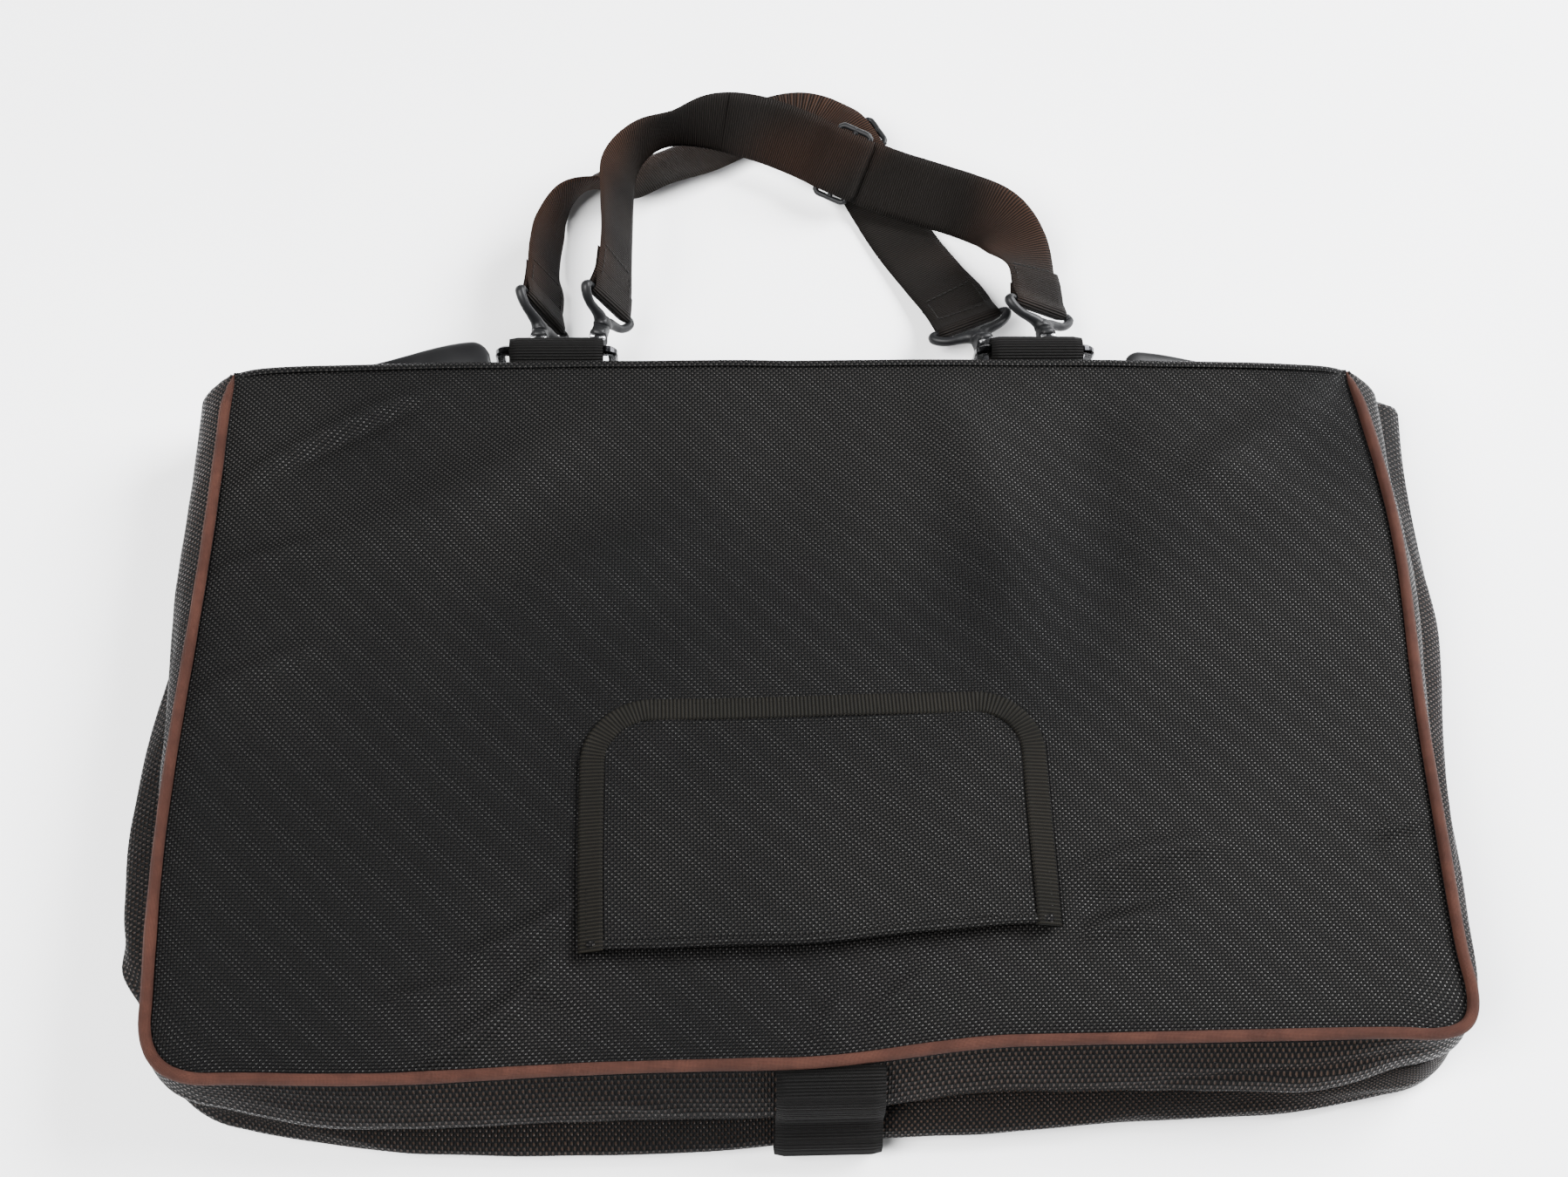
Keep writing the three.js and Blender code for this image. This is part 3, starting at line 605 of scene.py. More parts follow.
def webbing_loop(name, wire_x, strap):
    """The strap's end: folded round the frame's bar and sewn back on itself."""
    path, across, normal, _ = strap
    wire = ring_wire(wire_x)
    axes = hook_axes(wire, path[0], across[0])
    _, wide, thick = axes
    route = ([(HOOK_LENGTH + 9.0, 0.55), (HOOK_LENGTH + 4.0, 1.7), (BAR_AT + 1.0, 2.95)]
             + arc((BAR_AT, 0), 3.0, 100, 260, 7)
             + [(BAR_AT + 1.0, -2.95), (HOOK_LENGTH + 4.0, -1.9)])
    course = placed([(x, 0, z) for x, z in route], wire, axes)
    # Past the frame the sewn tail follows the strap itself
    tail = np.arange(22, 66)
    under = path[tail] - normal[tail] * 1.75 * np.sign(np.dot(normal[8], thick))
    whole, = even(catmull_rom(np.vstack([course, under[::11]]), 10), 0.45)
    share = np.linspace(0, 1, len(whole))[:, None] ** 2
    last = across[tail[-1]]
    wide = wide * (1 - share) + last * np.sign(np.dot(last, wide)) * share
    shape = band(whole, wide, STRAP_WIDTH - 0.6, 1.2, (RIB_PITCH, 0.12))
    return piece(name, shape, WEBBING, "carry_straps", "webbing")


def stitch_row(path, normal, length=2.4, gap=1.2, radius=0.28):
    """Stitches along a path, each a short thread that dips in at both ends."""
    along = lengths_along(path)
    rise = radius * np.array([-0.9, 0.5, 0.8, 0.5, -0.9])[:, None]
    parts = []
    at = gap
    while at + length < along[-1]:
        s = np.linspace(at, at + length, 5)
        parts.append(tube(read_at(s, along, path) + read_at(s, along, normal) * rise, radius, 6))
        at += length + gap
    return parts


def strap_stitches(name, strap, near=14, far=60, reach=14.5):
    """A stitched box on each face where the folded end is sewn to the strap."""
    path, across, normal, _ = strap
    parts = []
    rows = np.arange(near, far)
    for face, stand in ((-1, 2.55), (1, 0.95)):
        out = normal * face
        for s in (-1, 1):
            parts += stitch_row(path[rows] + across[rows] * s * reach + out[rows] * stand, out[rows])
        for row in (near, far):
            u = np.linspace(-reach, reach, 30)[:, None]
            line = path[row] + across[row] * u + out[row] * stand
            parts += stitch_row(line, np.tile(out[row], (30, 1)))
    return piece(name, join_parts(parts), THREAD, "carry_straps", "webbing")


def slide_adjuster(name, strap, at):
    """A three-bar slide on the strap near the point at, with the strap's second layer
    passing through it."""
    path, across, normal, tangent = strap
    i = int(np.argmin(np.linalg.norm(path - np.array(at, float), axis=1)))
    turn = 1 if normal[i][2] >= 0 else -1
    up = normal[i] * turn
    wide, ahead = unit(across[i]), unit(tangent[i])
    if np.dot(np.cross(wide, ahead), up) < 0:
        wide = -wide
    axes = (wide, ahead, np.cross(wide, ahead))
    origin = path[i] + up * 4.4
    loop = ([(-20.9, 0), (-20.9, 6)] + arc((-18.1, 6.6), 2.8, 180, 90, 4) + [(0, 9.4)]
            + arc((18.1, 6.6), 2.8, 90, 0, 4) + [(20.9, 0)] + arc((18.1, -6.6), 2.8, 0, -90, 4)
            + [(0, -9.4)] + arc((-18.1, -6.6), 2.8, 270, 180, 4) + [(-20.9, 0)])
    rim = plane_tube(loop, 1.65, axes, origin, flat=1.05)
    bar = plane_tube([(-20.6, 0), (0, 0), (20.6, 0)], 1.55, axes, origin)
    grip = [plane_tube([(x, -1.2), (x, 1.2)], 0.4, axes, origin, 8, step=0.5, height=1.45)
            for x in (-20.6, -19.6, 19.6, 20.6)]
    slide = piece(f"{name}_slide", join_parts([rim, bar, *grip]), PLASTIC, "carry_straps",
                  "plastic", f"{name}_adjuster")
    # The second layer lies on the strap, climbs over the bars and folds round the last one
    knots = [(-74, 0.75), (-66, 1.55), (-40, 1.75), (-22, 2.8), (-15, 5.2), (-9.4, 6.95),
             (0, 7.2), (8.6, 7.1), (11.8, 6.2), (12.7, 4.4), (11.6, 2.7), (8.0, 1.7)]
    curve = catmull_rom(knots, 10)
    index = i + curve[:, 0] / np.linalg.norm(path[1] - path[0])
    grid = np.arange(len(path))
    line = read_at(index, grid, path) + read_at(index, grid, normal * turn) * curve[:, 1:]
    line, wide_at = even(line, 0.45, read_at(index, grid, across))
    shape = band(line, wide_at, STRAP_WIDTH - 1.0, 1.25, (RIB_PITCH, 0.12))
    layer = piece(f"{name}_second_layer", shape, WEBBING, "carry_straps", "webbing")
    return [slide, layer]


def carry_strap(name, route, hooks, slide_at):
    strap = strap_course(route, hooks)
    path, across = strap[:2]
    shape = band(path, across, STRAP_WIDTH, STRAP_THICKNESS, (RIB_PITCH, 0.13), 12)
    ribbon = piece(f"{name}_ribbon", shape, WEBBING, "carry_straps", "webbing",
                   f"{name}_webbing")
    from_right = tuple(a[::-1] for a in strap)
    extras = []
    for label, x, course in (("left", hooks[0], strap), ("right", hooks[1], from_right)):
        extras += snap_hook(f"{name}_hook_{label}", x, course[0][0], course[1][0])
        extras.append(webbing_loop(f"{name}_loop_{label}", x, course))
        extras.append(strap_stitches(f"{name}_stitches_{label}", course))
    extras += slide_adjuster(name, strap, slide_at)


carry_strap("front_strap", FRONT_ROUTE, (-113, 143), (34, 357, 25))
carry_strap("rear_strap", REAR_ROUTE, (-142, 113), (38.5, 381, 8))


# ---- the soft outline
HALF_WIDTH, HALF_DEPTH, CORNER = 300.0, 190.0, 28.0
TAPE_PITCH = 1.88
PANEL_INSET = 1.0     # from the plain outline to a panel's edge
PANEL_FAR = 189.6     # where both panels end at the fold
FOLD_EDGE = 190.5
FRONT_LEVEL = 55.4    # height of the front panel's seam


def near_corner(x, y, width):
    """About 1 at the two rounded near corners, and 0 away from them."""
    return bell(np.hypot(np.abs(x) - 292, y + 182), 0, width)


def front_warp(points):
    """Moves points of the front half from its plain outline to its relaxed one."""
    p = np.array(points, float)
    x, y = p[..., 0], p[..., 1]
    s = np.clip(x / HALF_WIDTH, -1.15, 1.15)
    t = np.clip(y / HALF_DEPTH, -1.15, 1.15)
    left = -10.5 * bell(y, -88, 145)
    right = 6.2 * bell(y, 80, 78) - 2.2 * bell(y, 192, 40) - 1.5 * bell(y, -150, 60)
    near = 9 * smooth_step(x, -20, 90) - 3 * bell(x, -200, 70) - 1.0
    far = -3.0 + 4.5 * np.exp(-(x / 260) ** 4)
    square = np.where(x > 0, 4.6, 2.2) * near_corner(x, y, 17)
    p[..., 0] += left * smooth_step(-s, -0.2, 1) + right * smooth_step(s, -0.2, 1)
    p[..., 0] += np.sign(x) * square
    p[..., 1] += near * smooth_step(-t, -0.3, 1) + far * smooth_step(t, 0.5, 1) - square
    return p


def rear_warp(points):
    """The rear half keeps its plain outline."""
    return points


def outline_half_width(y, inset):
    """Half the width of the plain outline at y, with its rounded near corners."""
    radius = CORNER - inset
    near = -HALF_DEPTH + inset
    below = np.clip(near + radius - y, 0, radius)
    return HALF_WIDTH - inset - radius + np.sqrt(np.clip(radius ** 2 - below ** 2, 0, None))


def panel_grid(inset, far, step):
    """Grid points over the plain outline: rows run from the near end to the fold."""
    near = -HALF_DEPTH + inset
    corner_rows = near + (CORNER - inset) * (1 - np.cos(np.linspace(0, np.pi / 2, 14)))
    start = corner_rows[-1]
    rows = np.concatenate([corner_rows[:-1], np.linspace(start, far, int((far - start) / step))])
    columns = np.sin(np.linspace(-1, 1, int(2 * HALF_WIDTH / step)) * np.pi / 2 * 0.62)
    columns = columns / columns[-1]
    y = np.repeat(rows[:, None], len(columns), 1)
    x = columns[None, :] * outline_half_width(y, inset)
    return x, y


def edge_distance(dx, dy, radius):
    """How far a point is inside an edge with rounded corners, for a point that is dx and dy
    outwards from a corner's centre."""
    return radius - np.where((dx > 0) & (dy > 0), np.hypot(dx, dy), np.maximum(dx, dy))


def seam_distance(x, y, inset):
    """Roughly how far a point is from the U-shaped seam."""
    dx, dy = np.abs(x) - (HALF_WIDTH - CORNER), CORNER - HALF_DEPTH - y
    return np.clip(edge_distance(dx, dy, CORNER - inset), 0, None)


# Wrinkles of the front panel: start, end, half width, height, bow
FRONT_WRINKLES = [
    ((-300, 108), (-190, 176), 9, 2.2, 6),
    ((-262, 128), (-196, 168), 7, -1.6, 2),
    ((-302, 62), (-240, 82), 8, 1.7, 2),
    ((-240, 78), (-108, 156), 20, 2.4, -6),
    ((-302, -8), (-240, 22), 9, 1.4, 0),
    ((-140, 48), (-60, 78), 26, 2.0, 4),
    ((-190, -190), (-120, -138), 8, 3.0, -7),
    ((-196, -158), (-148, -152), 6, 1.8, 2),
    ((-160, -138), (-112, -112), 8, 2.2, -3),
    ((-150, -150), (-100, -176), 9, -1.8, 0),
    ((-6, -184), (8, -162), 7, 2.2, 0),
    ((18, -176), (48, -156), 7, 2.0, 0),
    ((118, -112), (200, -94), 10, 2.2, 4),
    ((122, -142), (158, -134), 7, 2.4, 2),
    ((120, -128), (170, -118), 10, -2.0, 0),
    ((272, -90), (300, -76), 7, 1.8, 0),
    ((262, -100), (296, -88), 8, -1.5, 0),
    ((76, 186), (104, -12), 26, 3.4, 6),
    ((150, 190), (146, 20), 24, -2.4, 0),
    ((190, 104), (296, 172), 15, 2.2, 4),
    ((176, 148), (262, 92), 18, 1.4, 0),
    ((0, 188), (-30, 60), 40, -1.6, 0),
]


def front_relief(x, y):
    """Height of the relaxed front panel over its plain level."""
    total = 0.9 * waves(x, y, 11, 190) + 0.25 * waves(x, y, 12, 60)
    for start, end, width, height, bow in FRONT_WRINKLES:
        narrow = 0.62 if width < 12 else 0.85
        total = total + 1.7 * ridge(x, y, start, end, narrow * width, height, bow)
    return total


def front_height(x, y):
    """The front panel's outer face, over the plain outline."""
    seam = seam_distance(x, y, PANEL_INSET)
    fold = np.clip(FOLD_EDGE - y, 0, None)
    crown = 3.4 * (1 - np.exp(-seam / 10)) + 1.2 * (1 - np.exp(-seam / 90))
    held = (1 - np.exp(-seam / 13)) * (1 - np.exp(-fold / 16))
    return FRONT_LEVEL + crown + front_relief(x, y) * held - 1.2 * np.exp(-fold / 5)


def front_panel():
    x, y = panel_grid(PANEL_INSET, PANEL_FAR, 3.6)
    seam, fold = seam_distance(x, y, PANEL_INSET), np.clip(HALF_DEPTH - y, 0, None)
    under = FRONT_LEVEL - 4.2 * (1 - np.exp(-seam / 6)) * (1 - np.exp(-fold / 6))
    top, low = (front_warp(np.stack([x, y, z], -1)) for z in (front_height(x, y), under))
    panel = piece("front_panel_cloth", between(top, low, np.stack([x, y], -1)), NYLON,
                  "front_half", "nylon", "front_panel", "front_foam")


def rear_panel():
    x, y = panel_grid(PANEL_INSET, PANEL_FAR, 7.0)
    seam = seam_distance(x, y, PANEL_INSET)
    low = np.stack([x, y, 0.2 + 2.0 * np.exp(-seam / 3.5)], -1)
    top = np.stack([x, y, 2.6 + 3.6 * (1 - np.exp(-seam / 7))], -1)
    panel = piece("rear_panel_cloth", between(top, low, np.stack([x, y], -1)), NYLON,
                  "rear_half", "nylon", "rear_panel", "rear_foam")


def u_course(half_width, closed, opened, radius, step, turn=24):
    """A U from its left end round two corners to its right end, in y from opened to closed
    and back: points, outward directions and lengths."""
    sign = 1 if opened > closed else -1
    a = np.linspace(0, math.pi / 2, turn)
    left = np.stack([radius * (1 - np.cos(a)) - half_width,
                     closed + sign * radius * (1 - np.sin(a))], 1)
    left = np.vstack([(-half_width, opened), left])
    course, = even(np.vstack([left, left[::-1] * (-1, 1)]), step)
    tangent = directions(course)
    outward = sign * np.stack([tangent[:, 1], -tangent[:, 0]], 1)
    return course, outward, lengths_along(course)


def seam_course(inset, far, step=2.0):
    """The seam from the fold on the left round to the fold on the right."""
    return u_course(HALF_WIDTH - inset, inset - HALF_DEPTH, far, CORNER - inset, step)


def front_seam_lift(x, y):
    """How far the front seam wanders up and down."""
    return 0.5 * waves(x, y, 21, 260) - 1.0 * bell(x, -200, 90) * bell(y, -190, 30)


def no_lift(x, _):
    return 0 * x


def piping(name, level, warp, lift, tuck, body, node, thick):
    """Corded piping round the seam. Its ends taper, turn in, and sink by tuck."""
    course, outward, _ = seam_course(-1.5, 189.5, 1.2)
    path = np.column_stack([course, level + lift(*course.T)])
    along = lengths_along(path)
    end = np.minimum(along, along[-1] - along)
    radius = thick * (0.5 + 0.5 * smooth_step(end, 0, 22)) * (1 + 0.03 * waves(along, 0, 5, 40))
    radius *= 0.45 + 0.55 * smooth_step(end, 0, 8)
    path[:, :2] -= outward * (2.2 * (1 - smooth_step(end, 0, 26)))[:, None]
    path[:, 2] -= tuck * (1 - smooth_step(end, 0, 9))
    piece(name, tube(warp(path), radius, 14), PIPING, body, "piping", node)


def gusset(name, low, high, bulge_at, sag_at, creases, warp, body, node, seed, lift, end_run,
           far_reach):
    """The wall between two seams. bulge_at gives how far it stands out round the seam, and
    sag_at how far its fullest part has sunk. lift raises its upper seam, its ends close
    over end_run, and far_reach carries its right end past the fold."""
    course, outward, along = seam_course(0.3, 190.0, 2.0)
    rows = 34
    phi = np.sin(np.linspace(-1, 1, rows) * np.pi / 2 * 0.8)
    phi = phi / phi[-1]
    bulge, sag = bulge_at(course), sag_at(course)
    end = np.minimum(along, along[-1] - along)
    closing = np.sqrt(np.clip(1 - (1 - np.clip(end / end_run, 0, 1)) ** 2, 0, 1))
    s, f = np.meshgrid(along, phi, indexing="ij")
    fullest = -0.25
    g = np.where(f < fullest, (f - fullest) / (1 + fullest), (f - fullest) / (1 - fullest))
    upper = np.clip(1 - np.abs(g) ** 1.9, 0, 1) ** 0.8
    shape = np.where(f < fullest, np.clip(1 - np.abs(g) ** 2.3, 0, 1) ** 0.6, upper)
    shape = shape * (1 + 0.05 * waves(s, 50 * f, seed, 190))
    out = bulge[:, None] * shape * (0.12 + 0.88 * closing[:, None])
    held = (1 - f ** 2) * closing[:, None]
    out = out + held * 0.55 * waves(s, 45 * f, seed + 1, 105)
    out = out + held * 0.16 * waves(s, 60 * f, seed + 2, 34)
    middle, half = (low + high) / 2, (high - low) / 2
    z = middle + half * f - sag[:, None] * shape * closing[:, None]
    z = z + 0.04 * half * held * waves(s, 30 * f, seed + 3, 150)
    z = z + lift(*course.T)[:, None] * (1 + f) / 2
    x = np.broadcast_to(course[:, None, 0], s.shape)
    y = np.broadcast_to(course[:, None, 1], s.shape)
    for plane, start, stop, width, height in creases:
        flat = x if plane == "near" else y
        out = out + held * ridge(flat, z, start, stop, width, height) * (
            (y < -150) if plane == "near" else (np.sign(x) == plane) & (np.abs(x) > 290))
    reach = far_reach * smooth_step(y, 140, 189.5) * np.clip(shape, 0, 1) * (x > 0)
    points = np.stack([x + outward[:, None, 0] * out, y + outward[:, None, 1] * out + reach, z], -1)
    drop = np.concatenate([[0], np.cumsum(np.hypot(np.diff(out.mean(0)), 2 * half / rows))])
    uvs = np.stack([s, np.broadcast_to(drop[None, :], s.shape)], -1)
    piece(name, cloth_shell(warp(points), uvs, 1.2), GUSSET_NYLON_PAINTED_SHEEN, body, "nylon", node)


def front_bulge(course):
    x, y = course[:, 0], course[:, 1]
    left = 5.5 + 10.0 * smooth_step(y, -90, 70)
    right = 7.5 + 3.0 * smooth_step(y, -120, 20) + 4.0 * smooth_step(y, 120, 185)
    near = 15.5 + 2.5 * bell(x, -80, 120) + 4.5 * smooth_step(x, 60, 200) - 1.5 * bell(x, 0, 40)
    near = near * (1 - 0.35 * smooth_step(np.abs(x), 215, 275))
    t = smooth_step(-y, 150, 178)
    return (np.where(x < 0, left, right) * (1 - t) + near * t) * (1 - 0.72 * near_corner(x, y, 30))


def front_sag(course):
    x, y = course[:, 0], course[:, 1]
    return 1.5 + 10.5 * smooth_step(-y, 165, 186) * (1 - 0.4 * smooth_step(np.abs(x), 210, 285))


def rear_bulge(course):
    """The rear wall stands out most on the long sides, and folds in at the near corners."""
    x, y = course[:, 0], course[:, 1]
    left = (10 + 26 * smooth_step(-y, -150, 60)) * (1 - 0.42 * smooth_step(-y, 122, 152))
    right = 38 - 17 * smooth_step(-y, -60, 130)
    near = 20 + 7 * bell(x, -100, 120) + 3 * bell(x, 40, 90) - 5 * smooth_step(x, 90, 240)
    near = near - 2.0 * bell(x, 0, 34) - 7 * smooth_step(np.abs(x), 205, 285)
    t = smooth_step(-y, 150, 176)
    return (np.where(x < 0, left, right) * (1 - t) + near * t) * (1 - 0.36 * near_corner(x, y, 24))


def rear_sag(course):
    y = course[:, 1]
    return 1.8 + 0.8 * smooth_step(-y, 150, 182)


# Creases of the two gussets: side of the bag, start, end, half width, height
FRONT_CREASES = [
    ("near", (150, 36), (282, 47), 2.6, -1.6), ("near", (160, 41), (270, 51), 2.4, 0.8),
    ("near", (-250, 46), (-160, 38), 3.4, -1.0), ("near", (-110, 44), (-62, 36), 3.0, 0.8),
    ("near", (40, 47), (90, 38), 2.8, -0.9), (-1, (-30, 40), (60, 47), 3.0, -0.9),
    (1, (60, 46), (150, 38), 3.0, -0.9),
]
REAR_CREASES = [
    ("near", (-286, 16), (-200, 8), 3.2, -1.6), ("near", (-150, 18), (-60, 14), 3.0, -1.2),
    ("near", (60, 10), (150, 17), 3.2, 1.2), ("near", (190, 18), (280, 10), 3.0, -1.5),
    (-1, (-150, 18), (-100, 8), 4.0, -2.6), (-1, (-60, 9), (40, 16), 3.4, -1.4),
    (1, (-120, 16), (-20, 9), 3.4, -1.6), (1, (60, 9), (160, 17), 3.2, -1.4),
]


front_panel()
piping("front_piping_cord", 56.4, front_warp, front_seam_lift, 1.6, "front_half",
       "front_piping", 2.85)
gusset("front_gusset_cloth", 34.6, 54.8, front_bulge, front_sag, FRONT_CREASES, front_warp,
       "front_half", "front_gusset", 31, front_seam_lift, 9.0, 0.0)
gusset("rear_gusset_cloth", 4.4, 24.4, rear_bulge, rear_sag, REAR_CREASES, rear_warp,
       "rear_half", "rear_gusset", 41, no_lift, 5.0, 6.0)
piping("rear_piping_cord", 2.5, rear_warp, no_lift, 0.0, "rear_half", "rear_piping", 2.25)
rear_panel()


def lining(name, level, side, warp, body, node, seed):
    """A thin lining; side is +1 where its open face looks up."""
    x, y = panel_grid(1.5, 189.0, 7.0)
    seam = seam_distance(x, y, 1.5)
    held = 1 - np.exp(-seam / 25)
    slack = 1.3 + 0.8 * waves(x, y, seed, 130) + 0.35 * waves(x, y, seed + 5, 48)
    face = level - side * (0.5 + held * np.clip(slack, 0, 3.2))
    points = warp(np.stack([x, y, face], -1))
    uv = np.stack([x, y], -1)
    if side > 0:
        points, uv = points[::-1], uv[::-1]
    shape = cloth_shell(points[:, ::-1], uv[:, ::-1], 0.9)
    cloth = piece(name, shape, LINING, body, "lining", node)


lining("rear_lining_cloth", 25.5, 1, rear_warp, "rear_half", "rear_lining", 51)
lining("front_lining_cloth", 33.5, -1, front_warp, "front_half", "front_lining", 52)


def seam_binding(name, level, warp, body, node):
    """Tape folded over the seam between a gusset and its lining."""
    course, outward, _ = seam_course(2.5, 189.0, 1.6)
    path = warp(np.column_stack([course, np.full(len(course), level)]))
    across = np.column_stack([outward, np.zeros(len(course))])
    piece(name, band(path, across, 7.0, 1.6, (TAPE_PITCH, 0.12), 8), TAPE, body, "binding", node)


seam_binding("rear_seam_tape", 24.8, rear_warp, "rear_half", "rear_seam_binding")
seam_binding("front_seam_tape", 34.2, front_warp, "front_half", "front_seam_binding")


# ---- the fold
def fold_strip():
    """Cloth over the fold: from the front panel, round the rolled edge, down to the spine."""
    start, half_width = 187.8, HALF_WIDTH - 0.2
    x = np.linspace(-half_width, half_width, 190)[None, :]
    profile = [(start, 58.72), (188.6, 58.8), (189.6, 58.8), (190.7, 58.5), (191.7, 57.8),
               (192.4, 56.5), (192.7, 54.8), (192.6, 52.6), (192.4, 50.0)]
    profile, = even(catmull_rom(profile, 6), 0.42)
    y, z = profile[:, :1], profile[:, 1:]
    end = half_width - np.abs(x)
    level = front_height(x, np.full_like(x, start)) - 58.68
    top = smooth_step(z, 52, 58)
    y = y + 0.25 * waves(x, 0, 62, 60) * top - 0.9 * np.exp(-end / 6)
    z = z + top * (level + 0.12 * waves(x, profile[:, :1], 61, 46) - 1.92 * np.exp(-end / 7))
    points = front_warp(np.stack(np.broadcast_arrays(x, y, z), -1))
    uvs = np.stack(np.broadcast_arrays(x, 187 + lengths_along(profile)[:, None]), -1)
    strip = piece("fold_cloth", cloth_shell(points, uvs, -0.8), NYLON, None, "nylon",
                  "fold_edge_roll")
    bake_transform(strip)


def spine_cloth():
    x = np.linspace(-HALF_WIDTH + 0.5, HALF_WIDTH - 0.5, 150)[None, :]
    z = np.linspace(2.4, 54.5, 26)[:, None]
    slack = np.sin(np.pi * (z - 2) / 56)
    y = 191.6 + slack * (0.5 * waves(x, 2 * z, 71, 110) + 0.25 * waves(x, z, 72, 40))
    points = front_warp(np.stack(np.broadcast_arrays(x, y, z), -1))
    uvs = np.stack(np.broadcast_arrays(x, z), -1)
    piece("spine_cloth", cloth_shell(points, uvs, -1.2), NYLON, "rear_half", "nylon",
          "fold_spine")


fold_strip()
spine_cloth()


# ---- the patch pocket
POCKET_X, POCKET_NEAR, POCKET_FAR, POCKET_R = 111.0, -137.0, -9.0, 34.0
TAPE_WIDTH = 12.0


def pocket_course(inset, near, step):
    """The pocket's sewn edge, from its near left end round to its near right end."""
    return u_course(POCKET_X - inset, POCKET_FAR - inset, near, POCKET_R - inset, step, 22)[:2]


def pocket_stand(x, y):
    """How far the pocket's cloth stands off the panel: most at its open near edge."""
    open_edge = 1 - smooth_step(y, POCKET_NEAR, POCKET_NEAR + 70)
    middle = 1 - (np.abs(x) / POCKET_X) ** 3
    return 1.6 + open_edge * (2.4 + 2.0 * np.clip(middle, 0, 1))


def on_pocket(x, y, above):
    """Points of the pocket, at a height above its cloth."""
    return np.stack([x, y, front_height(x, y) + pocket_stand(x, y) + above], -1)


def pocket_patch():
    rows = np.linspace(POCKET_NEAR + 1.0, POCKET_FAR - 3, 60)
    u = np.linspace(-1, 1, 96)
    y = np.repeat(rows[:, None], len(u), 1)
    inset = 4.0
    r = POCKET_R - inset
    above = np.clip(y - (POCKET_FAR - inset - r), 0, r)
    half = POCKET_X - inset - r + np.sqrt(np.clip(r ** 2 - above ** 2, 0, None))
    x = u[None, :] * half
    relief = (0.5 * waves(x, y, 81, 90) + ridge(x, y, (70, -20), (96, -60), 10, 1.2)
              + ridge(x, y, (-90, -40), (-60, -12), 9, 0.8))
    inside = edge_distance(np.abs(x) - POCKET_X + POCKET_R, y - POCKET_FAR + POCKET_R, POCKET_R)
    edge = 1 - np.exp(-np.clip(inside - 6, 0, None) / 7)
    points = front_warp(on_pocket(x, y, relief * edge))
    shape = cloth_shell(points[::-1], np.stack([x, y], -1)[::-1], 1.1)
    patch = piece("pocket_cloth", shape, NYLON, "front_half", "nylon", "pocket_patch")


def pocket_hem():
    """The patch's cloth rolled over along its open near edge."""
    x = np.linspace(-POCKET_X + 5, POCKET_X - 5, 120)
    y = POCKET_NEAR + 1.2 + 0.4 * waves(x, 0 * x, 82, 80)
    path = front_warp(on_pocket(x, y, 0.45))
    piece("pocket_hem_roll", tube(path, 2.7, 14, flat=0.62), NYLON, "front_half", "nylon",
          "pocket_hem")


def pocket_binding():
    """Ribbed tape over the three sewn sides, with its stitched groove."""
    course, outward = pocket_course(TAPE_WIDTH / 2, POCKET_NEAR - 2.0, STEP)
    x, y = course.T
    slope = -0.16 * (1 - smooth_step(y, POCKET_NEAR, POCKET_NEAR + 100)) - 0.10
    shape = band(front_warp(on_pocket(x, y, 0.75)), np.column_stack([outward, slope]), TAPE_WIDTH,
                 1.3, (TAPE_PITCH, 0.22), 12)
    piece("pocket_tape", shape, TAPE, "front_half", "binding", "pocket_binding")
    groove, _ = pocket_course(TAPE_WIDTH + 0.2, POCKET_NEAR - 1.0, 1.6)
    piece("pocket_stitching", tube(front_warp(on_pocket(*groove.T, 0.2)), 0.5, 8), THREAD,
          "front_half", "binding")


pocket_patch()
pocket_hem()
pocket_binding()


# ---- webbing on the body
def body_webbing(name, x, profile, steps, step, thickness, rib, node):
    """50 mm webbing at x, along a profile of (y, z). Its face looks away from the bag."""
    path, = even(catmull_rom([(x, y, z) for y, z in profile], steps), step)
    across = np.tile((math.copysign(1.0, profile[0][0]), 0, 0), (len(path), 1))
    shape = band(path, across, 50.0, thickness, rib, 12)
    piece(name, shape, TAB_CLOTH, "rear_half", "webbing", node)


CLOSURE_PROFILE = [
    (-193.0, 54.2), (-199.0, 52.6), (-205.4, 48.4), (-209.4, 42.4), (-210.8, 36.4),
    (-210.6, 31.0), (-211.4, 27.0), (-214.6, 23.8), (-218.0, 20.2), (-220.4, 16.4),
    (-221.2, 12.2), (-219.6, 7.4), (-214.4, 3.2), (-204, 1.0)]
# Sewn to the spine, up over the ring's bar and back down
TAB_PROFILE = [
    (193.0, 40.0), (194.2, 46.0), (197.0, 52.5), (201.5, 56.0), (206.0, 57.0), (210.2, 55.4),
    (211.9, 51.4), (210.6, 47.0), (206.5, 44.6), (201.0, 44.6), (197.0, 43.2), (195.4, 39.0),
    (195.0, 34.0)]
body_webbing("closure_webbing", 0, CLOSURE_PROFILE, 16, 0.5, 1.5, (2.0, 0.28), "closure_strap")
for label, x in (("left", -130), ("right", 130)):
    body_webbing(f"tab_{label}_webbing", x, TAB_PROFILE, 14, 0.45, 1.4, (1.5, 0.14),
                 f"tab_{label}")


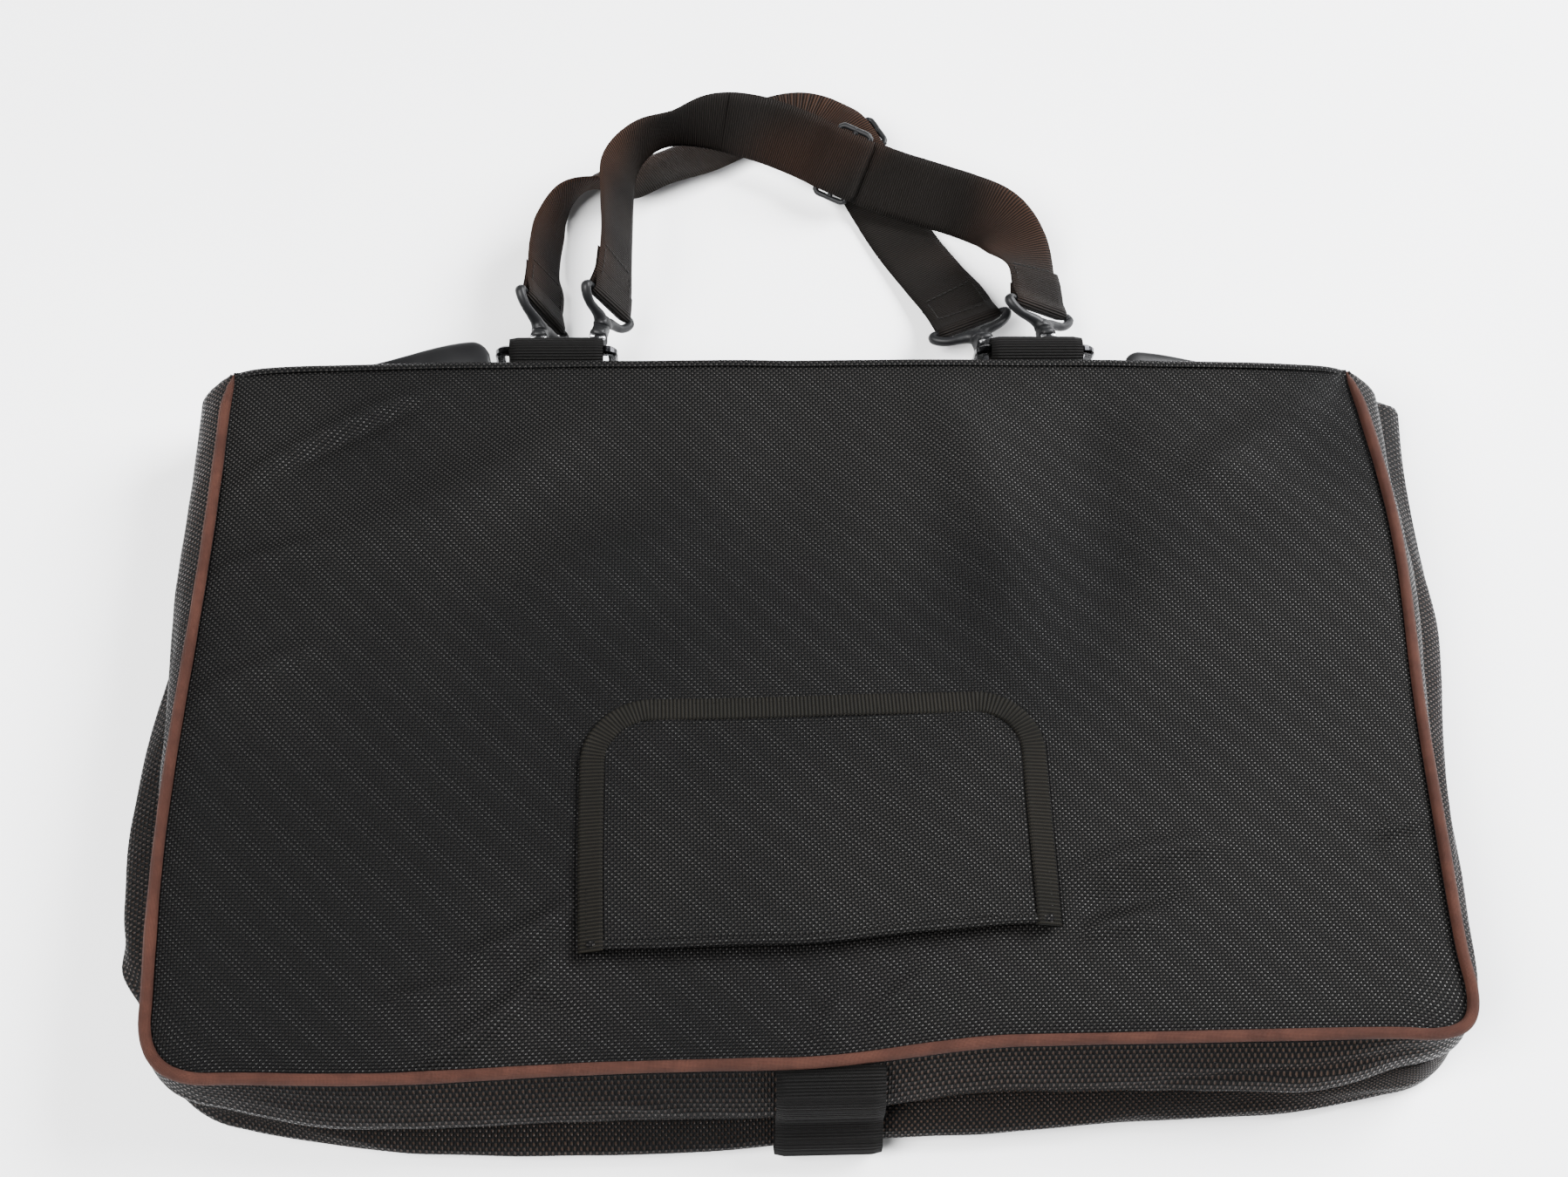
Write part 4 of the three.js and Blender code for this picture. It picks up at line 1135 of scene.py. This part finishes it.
def fold_guard(name, sign, start, long, tall, node):
    """A smooth coated lip beside a tab, tallest and rounded at its inner end."""
    stations = []
    for t in np.linspace(0, 1, 60):
        x = start + long * t
        end = math.sqrt(1 - (1 - min(t / 0.14, 1)) ** 2)
        reach = 0.8 + tall * (1 - smooth_step(t, 0.10, 1.0)) * end
        thick = 0.9 + 2.1 * (1 - smooth_step(t, 0.0, 1.0)) * end
        stations.append((sign * x, reach / 2 + 0.6, thick, 191.8 + reach / 2, 54.4 - 2.4 * t))
    verts, faces, _ = lofted(stations, np.eye(3), (0, 0, 0), 36, 2.3)
    piece(name, (verts, faces if sign > 0 else turned(faces), verts[:, :2]), COATED, "rear_half",
          "coated", node)


fold_guard("fold_guard_left_lip", -1, 164, 82, 16.0, "fold_guard_left")
fold_guard("fold_guard_right_lip", 1, 177, 62, 8.0, "fold_guard_right")


# ---- zip and ties
def zip_side(name, level, side, node, body):
    """One side of the zip: woven tape with a row of coil teeth; side is +1 on the rear half."""
    run = np.arange(-160, 160.5, 0.8)
    path = np.stack([0 * run, run, np.full_like(run, level + 0.28 * side)], 1)
    across = np.tile((1.0, 0, 0), (len(run), 1))
    tape = band(path, across, 27.0, 0.5, columns=14)
    piece(f"{name}_tape", tape, TAB_CLOTH, body, "webbing", node)
    x, rise = np.array([(-2.7, 0.75), (-2.2, 1.25), (0.0, 1.5), (2.2, 1.25), (2.7, 0.75)]).T
    teeth = [tube(np.stack([x, np.full(5, y), level + side * rise], 1), 0.52, 6)
             for y in np.arange(-159, 159.5, 1.7)]
    verts, faces, _ = join_parts(teeth)
    piece(f"{name}_teeth", (verts, faces, None), ZIP_COIL, body, "zip_coil")


def flat_strap(name, start, stop, width, level, slack, node, body):
    """A straight piece of webbing from start to stop, with a little slack in it."""
    t = np.linspace(0, 1, 260)[:, None]
    line = np.array(start, float) * (1 - t) + np.array(stop, float) * t
    path = np.column_stack([line, level + slack * waves(*line.T, 91, 90)])
    ahead = unit(path[-1] - path[0])
    across = np.tile((-ahead[1], ahead[0], 0.0), (len(path), 1))
    piece(name, band(path, across, width, 1.1, (1.5, 0.1)), TAB_CLOTH, body, "webbing", node)


zip_side("zip_rear", 25.6, 1, "zip_chain_rear", "rear_half")
zip_side("zip_front", 33.4, -1, "zip_chain_front", "front_half")
flat_strap("zip_pull_webbing", (0, -158.6), (0, -185.5), 8.0, 29.0, 0.1, "zip_pull", "slider")
for label, sign in (("left", -1), ("right", 1)):
    flat_strap(f"tie_webbing_{label}", (sign * 281, 130), (sign * 23, 130), 25.0, 7.9, 0.08,
               f"tie_strap_{label}", "rear_half")


# ---- CAD nodes that stay
KEPT = {"ring_left": GUNMETAL, "ring_right": GUNMETAL, "zip_slider": STEEL,
        "hanger_bracket": PLASTIC, "tie_buckle": PLASTIC}
for node, material in KEPT.items():
    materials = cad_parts[node].data.materials
    materials.clear()
    materials.append(material)


# ---- floor and light
def floor():
    m = Nodes("pale_floor")
    soft = m.noise(3.0, 3.0)
    colour = m.mix(m.span(soft, 0.3, 0.7), (0.80, 0.80, 0.805), (0.84, 0.84, 0.845))
    material = m.finish(colour, 0.9, m.bump(soft, 0.4, 0.1), specular=0.2)
    size = 6000
    verts = [(x * size, y * size, -0.4) for x, y in ((-1, -1), (1, -1), (1, 1), (-1, 1))]
    piece("floor", (verts, [(0, 1, 2, 3)], None), material, smooth=False)


def area_light(name, place, aim, size, power, colour=(1, 1, 1)):
    data = bpy.data.lights.new(name, "AREA")
    data.shape = "RECTANGLE"
    data.size, data.size_y = size
    data.energy = power
    data.color = colour
    light = bpy.data.objects.new(name, data)
    light.location = place
    light.rotation_euler = (Vector(aim) - Vector(place)).to_track_quat("-Z", "Y").to_euler()
    bpy.context.scene.collection.objects.link(light)


def room_light():
    """White light from all round, weaker from straight above."""
    world = bpy.data.worlds.new("world")
    bpy.context.scene.world = world
    world.use_nodes = True
    room = world.node_tree
    direction = room.nodes.new("ShaderNodeTexCoord")
    parts = room.nodes.new("ShaderNodeSeparateXYZ")
    fade = room.nodes.new("ShaderNodeMapRange")
    for key, value in (("From Min", 0.25), ("From Max", 0.85), ("To Min", 1.0), ("To Max", 0.16)):
        fade.inputs[key].default_value = value
    backdrop = room.nodes["Background"]
    backdrop.inputs["Color"].default_value = (1.0, 1.0, 1.0, 1)
    room.links.new(direction.outputs["Generated"], parts.inputs[0])
    room.links.new(parts.outputs[2], fade.inputs["Value"])
    room.links.new(fade.outputs["Result"], backdrop.inputs["Strength"])


floor()
area_light("window", (1.9, 0.9, 1.7), (0, 0.1, 0), (1.6, 1.5), 420, (0.97, 0.98, 1.0))
area_light("lamp", (-1.5, -0.9, 2.3), (0, 0.2, 0), (1.6, 1.6), 330)
room_light()
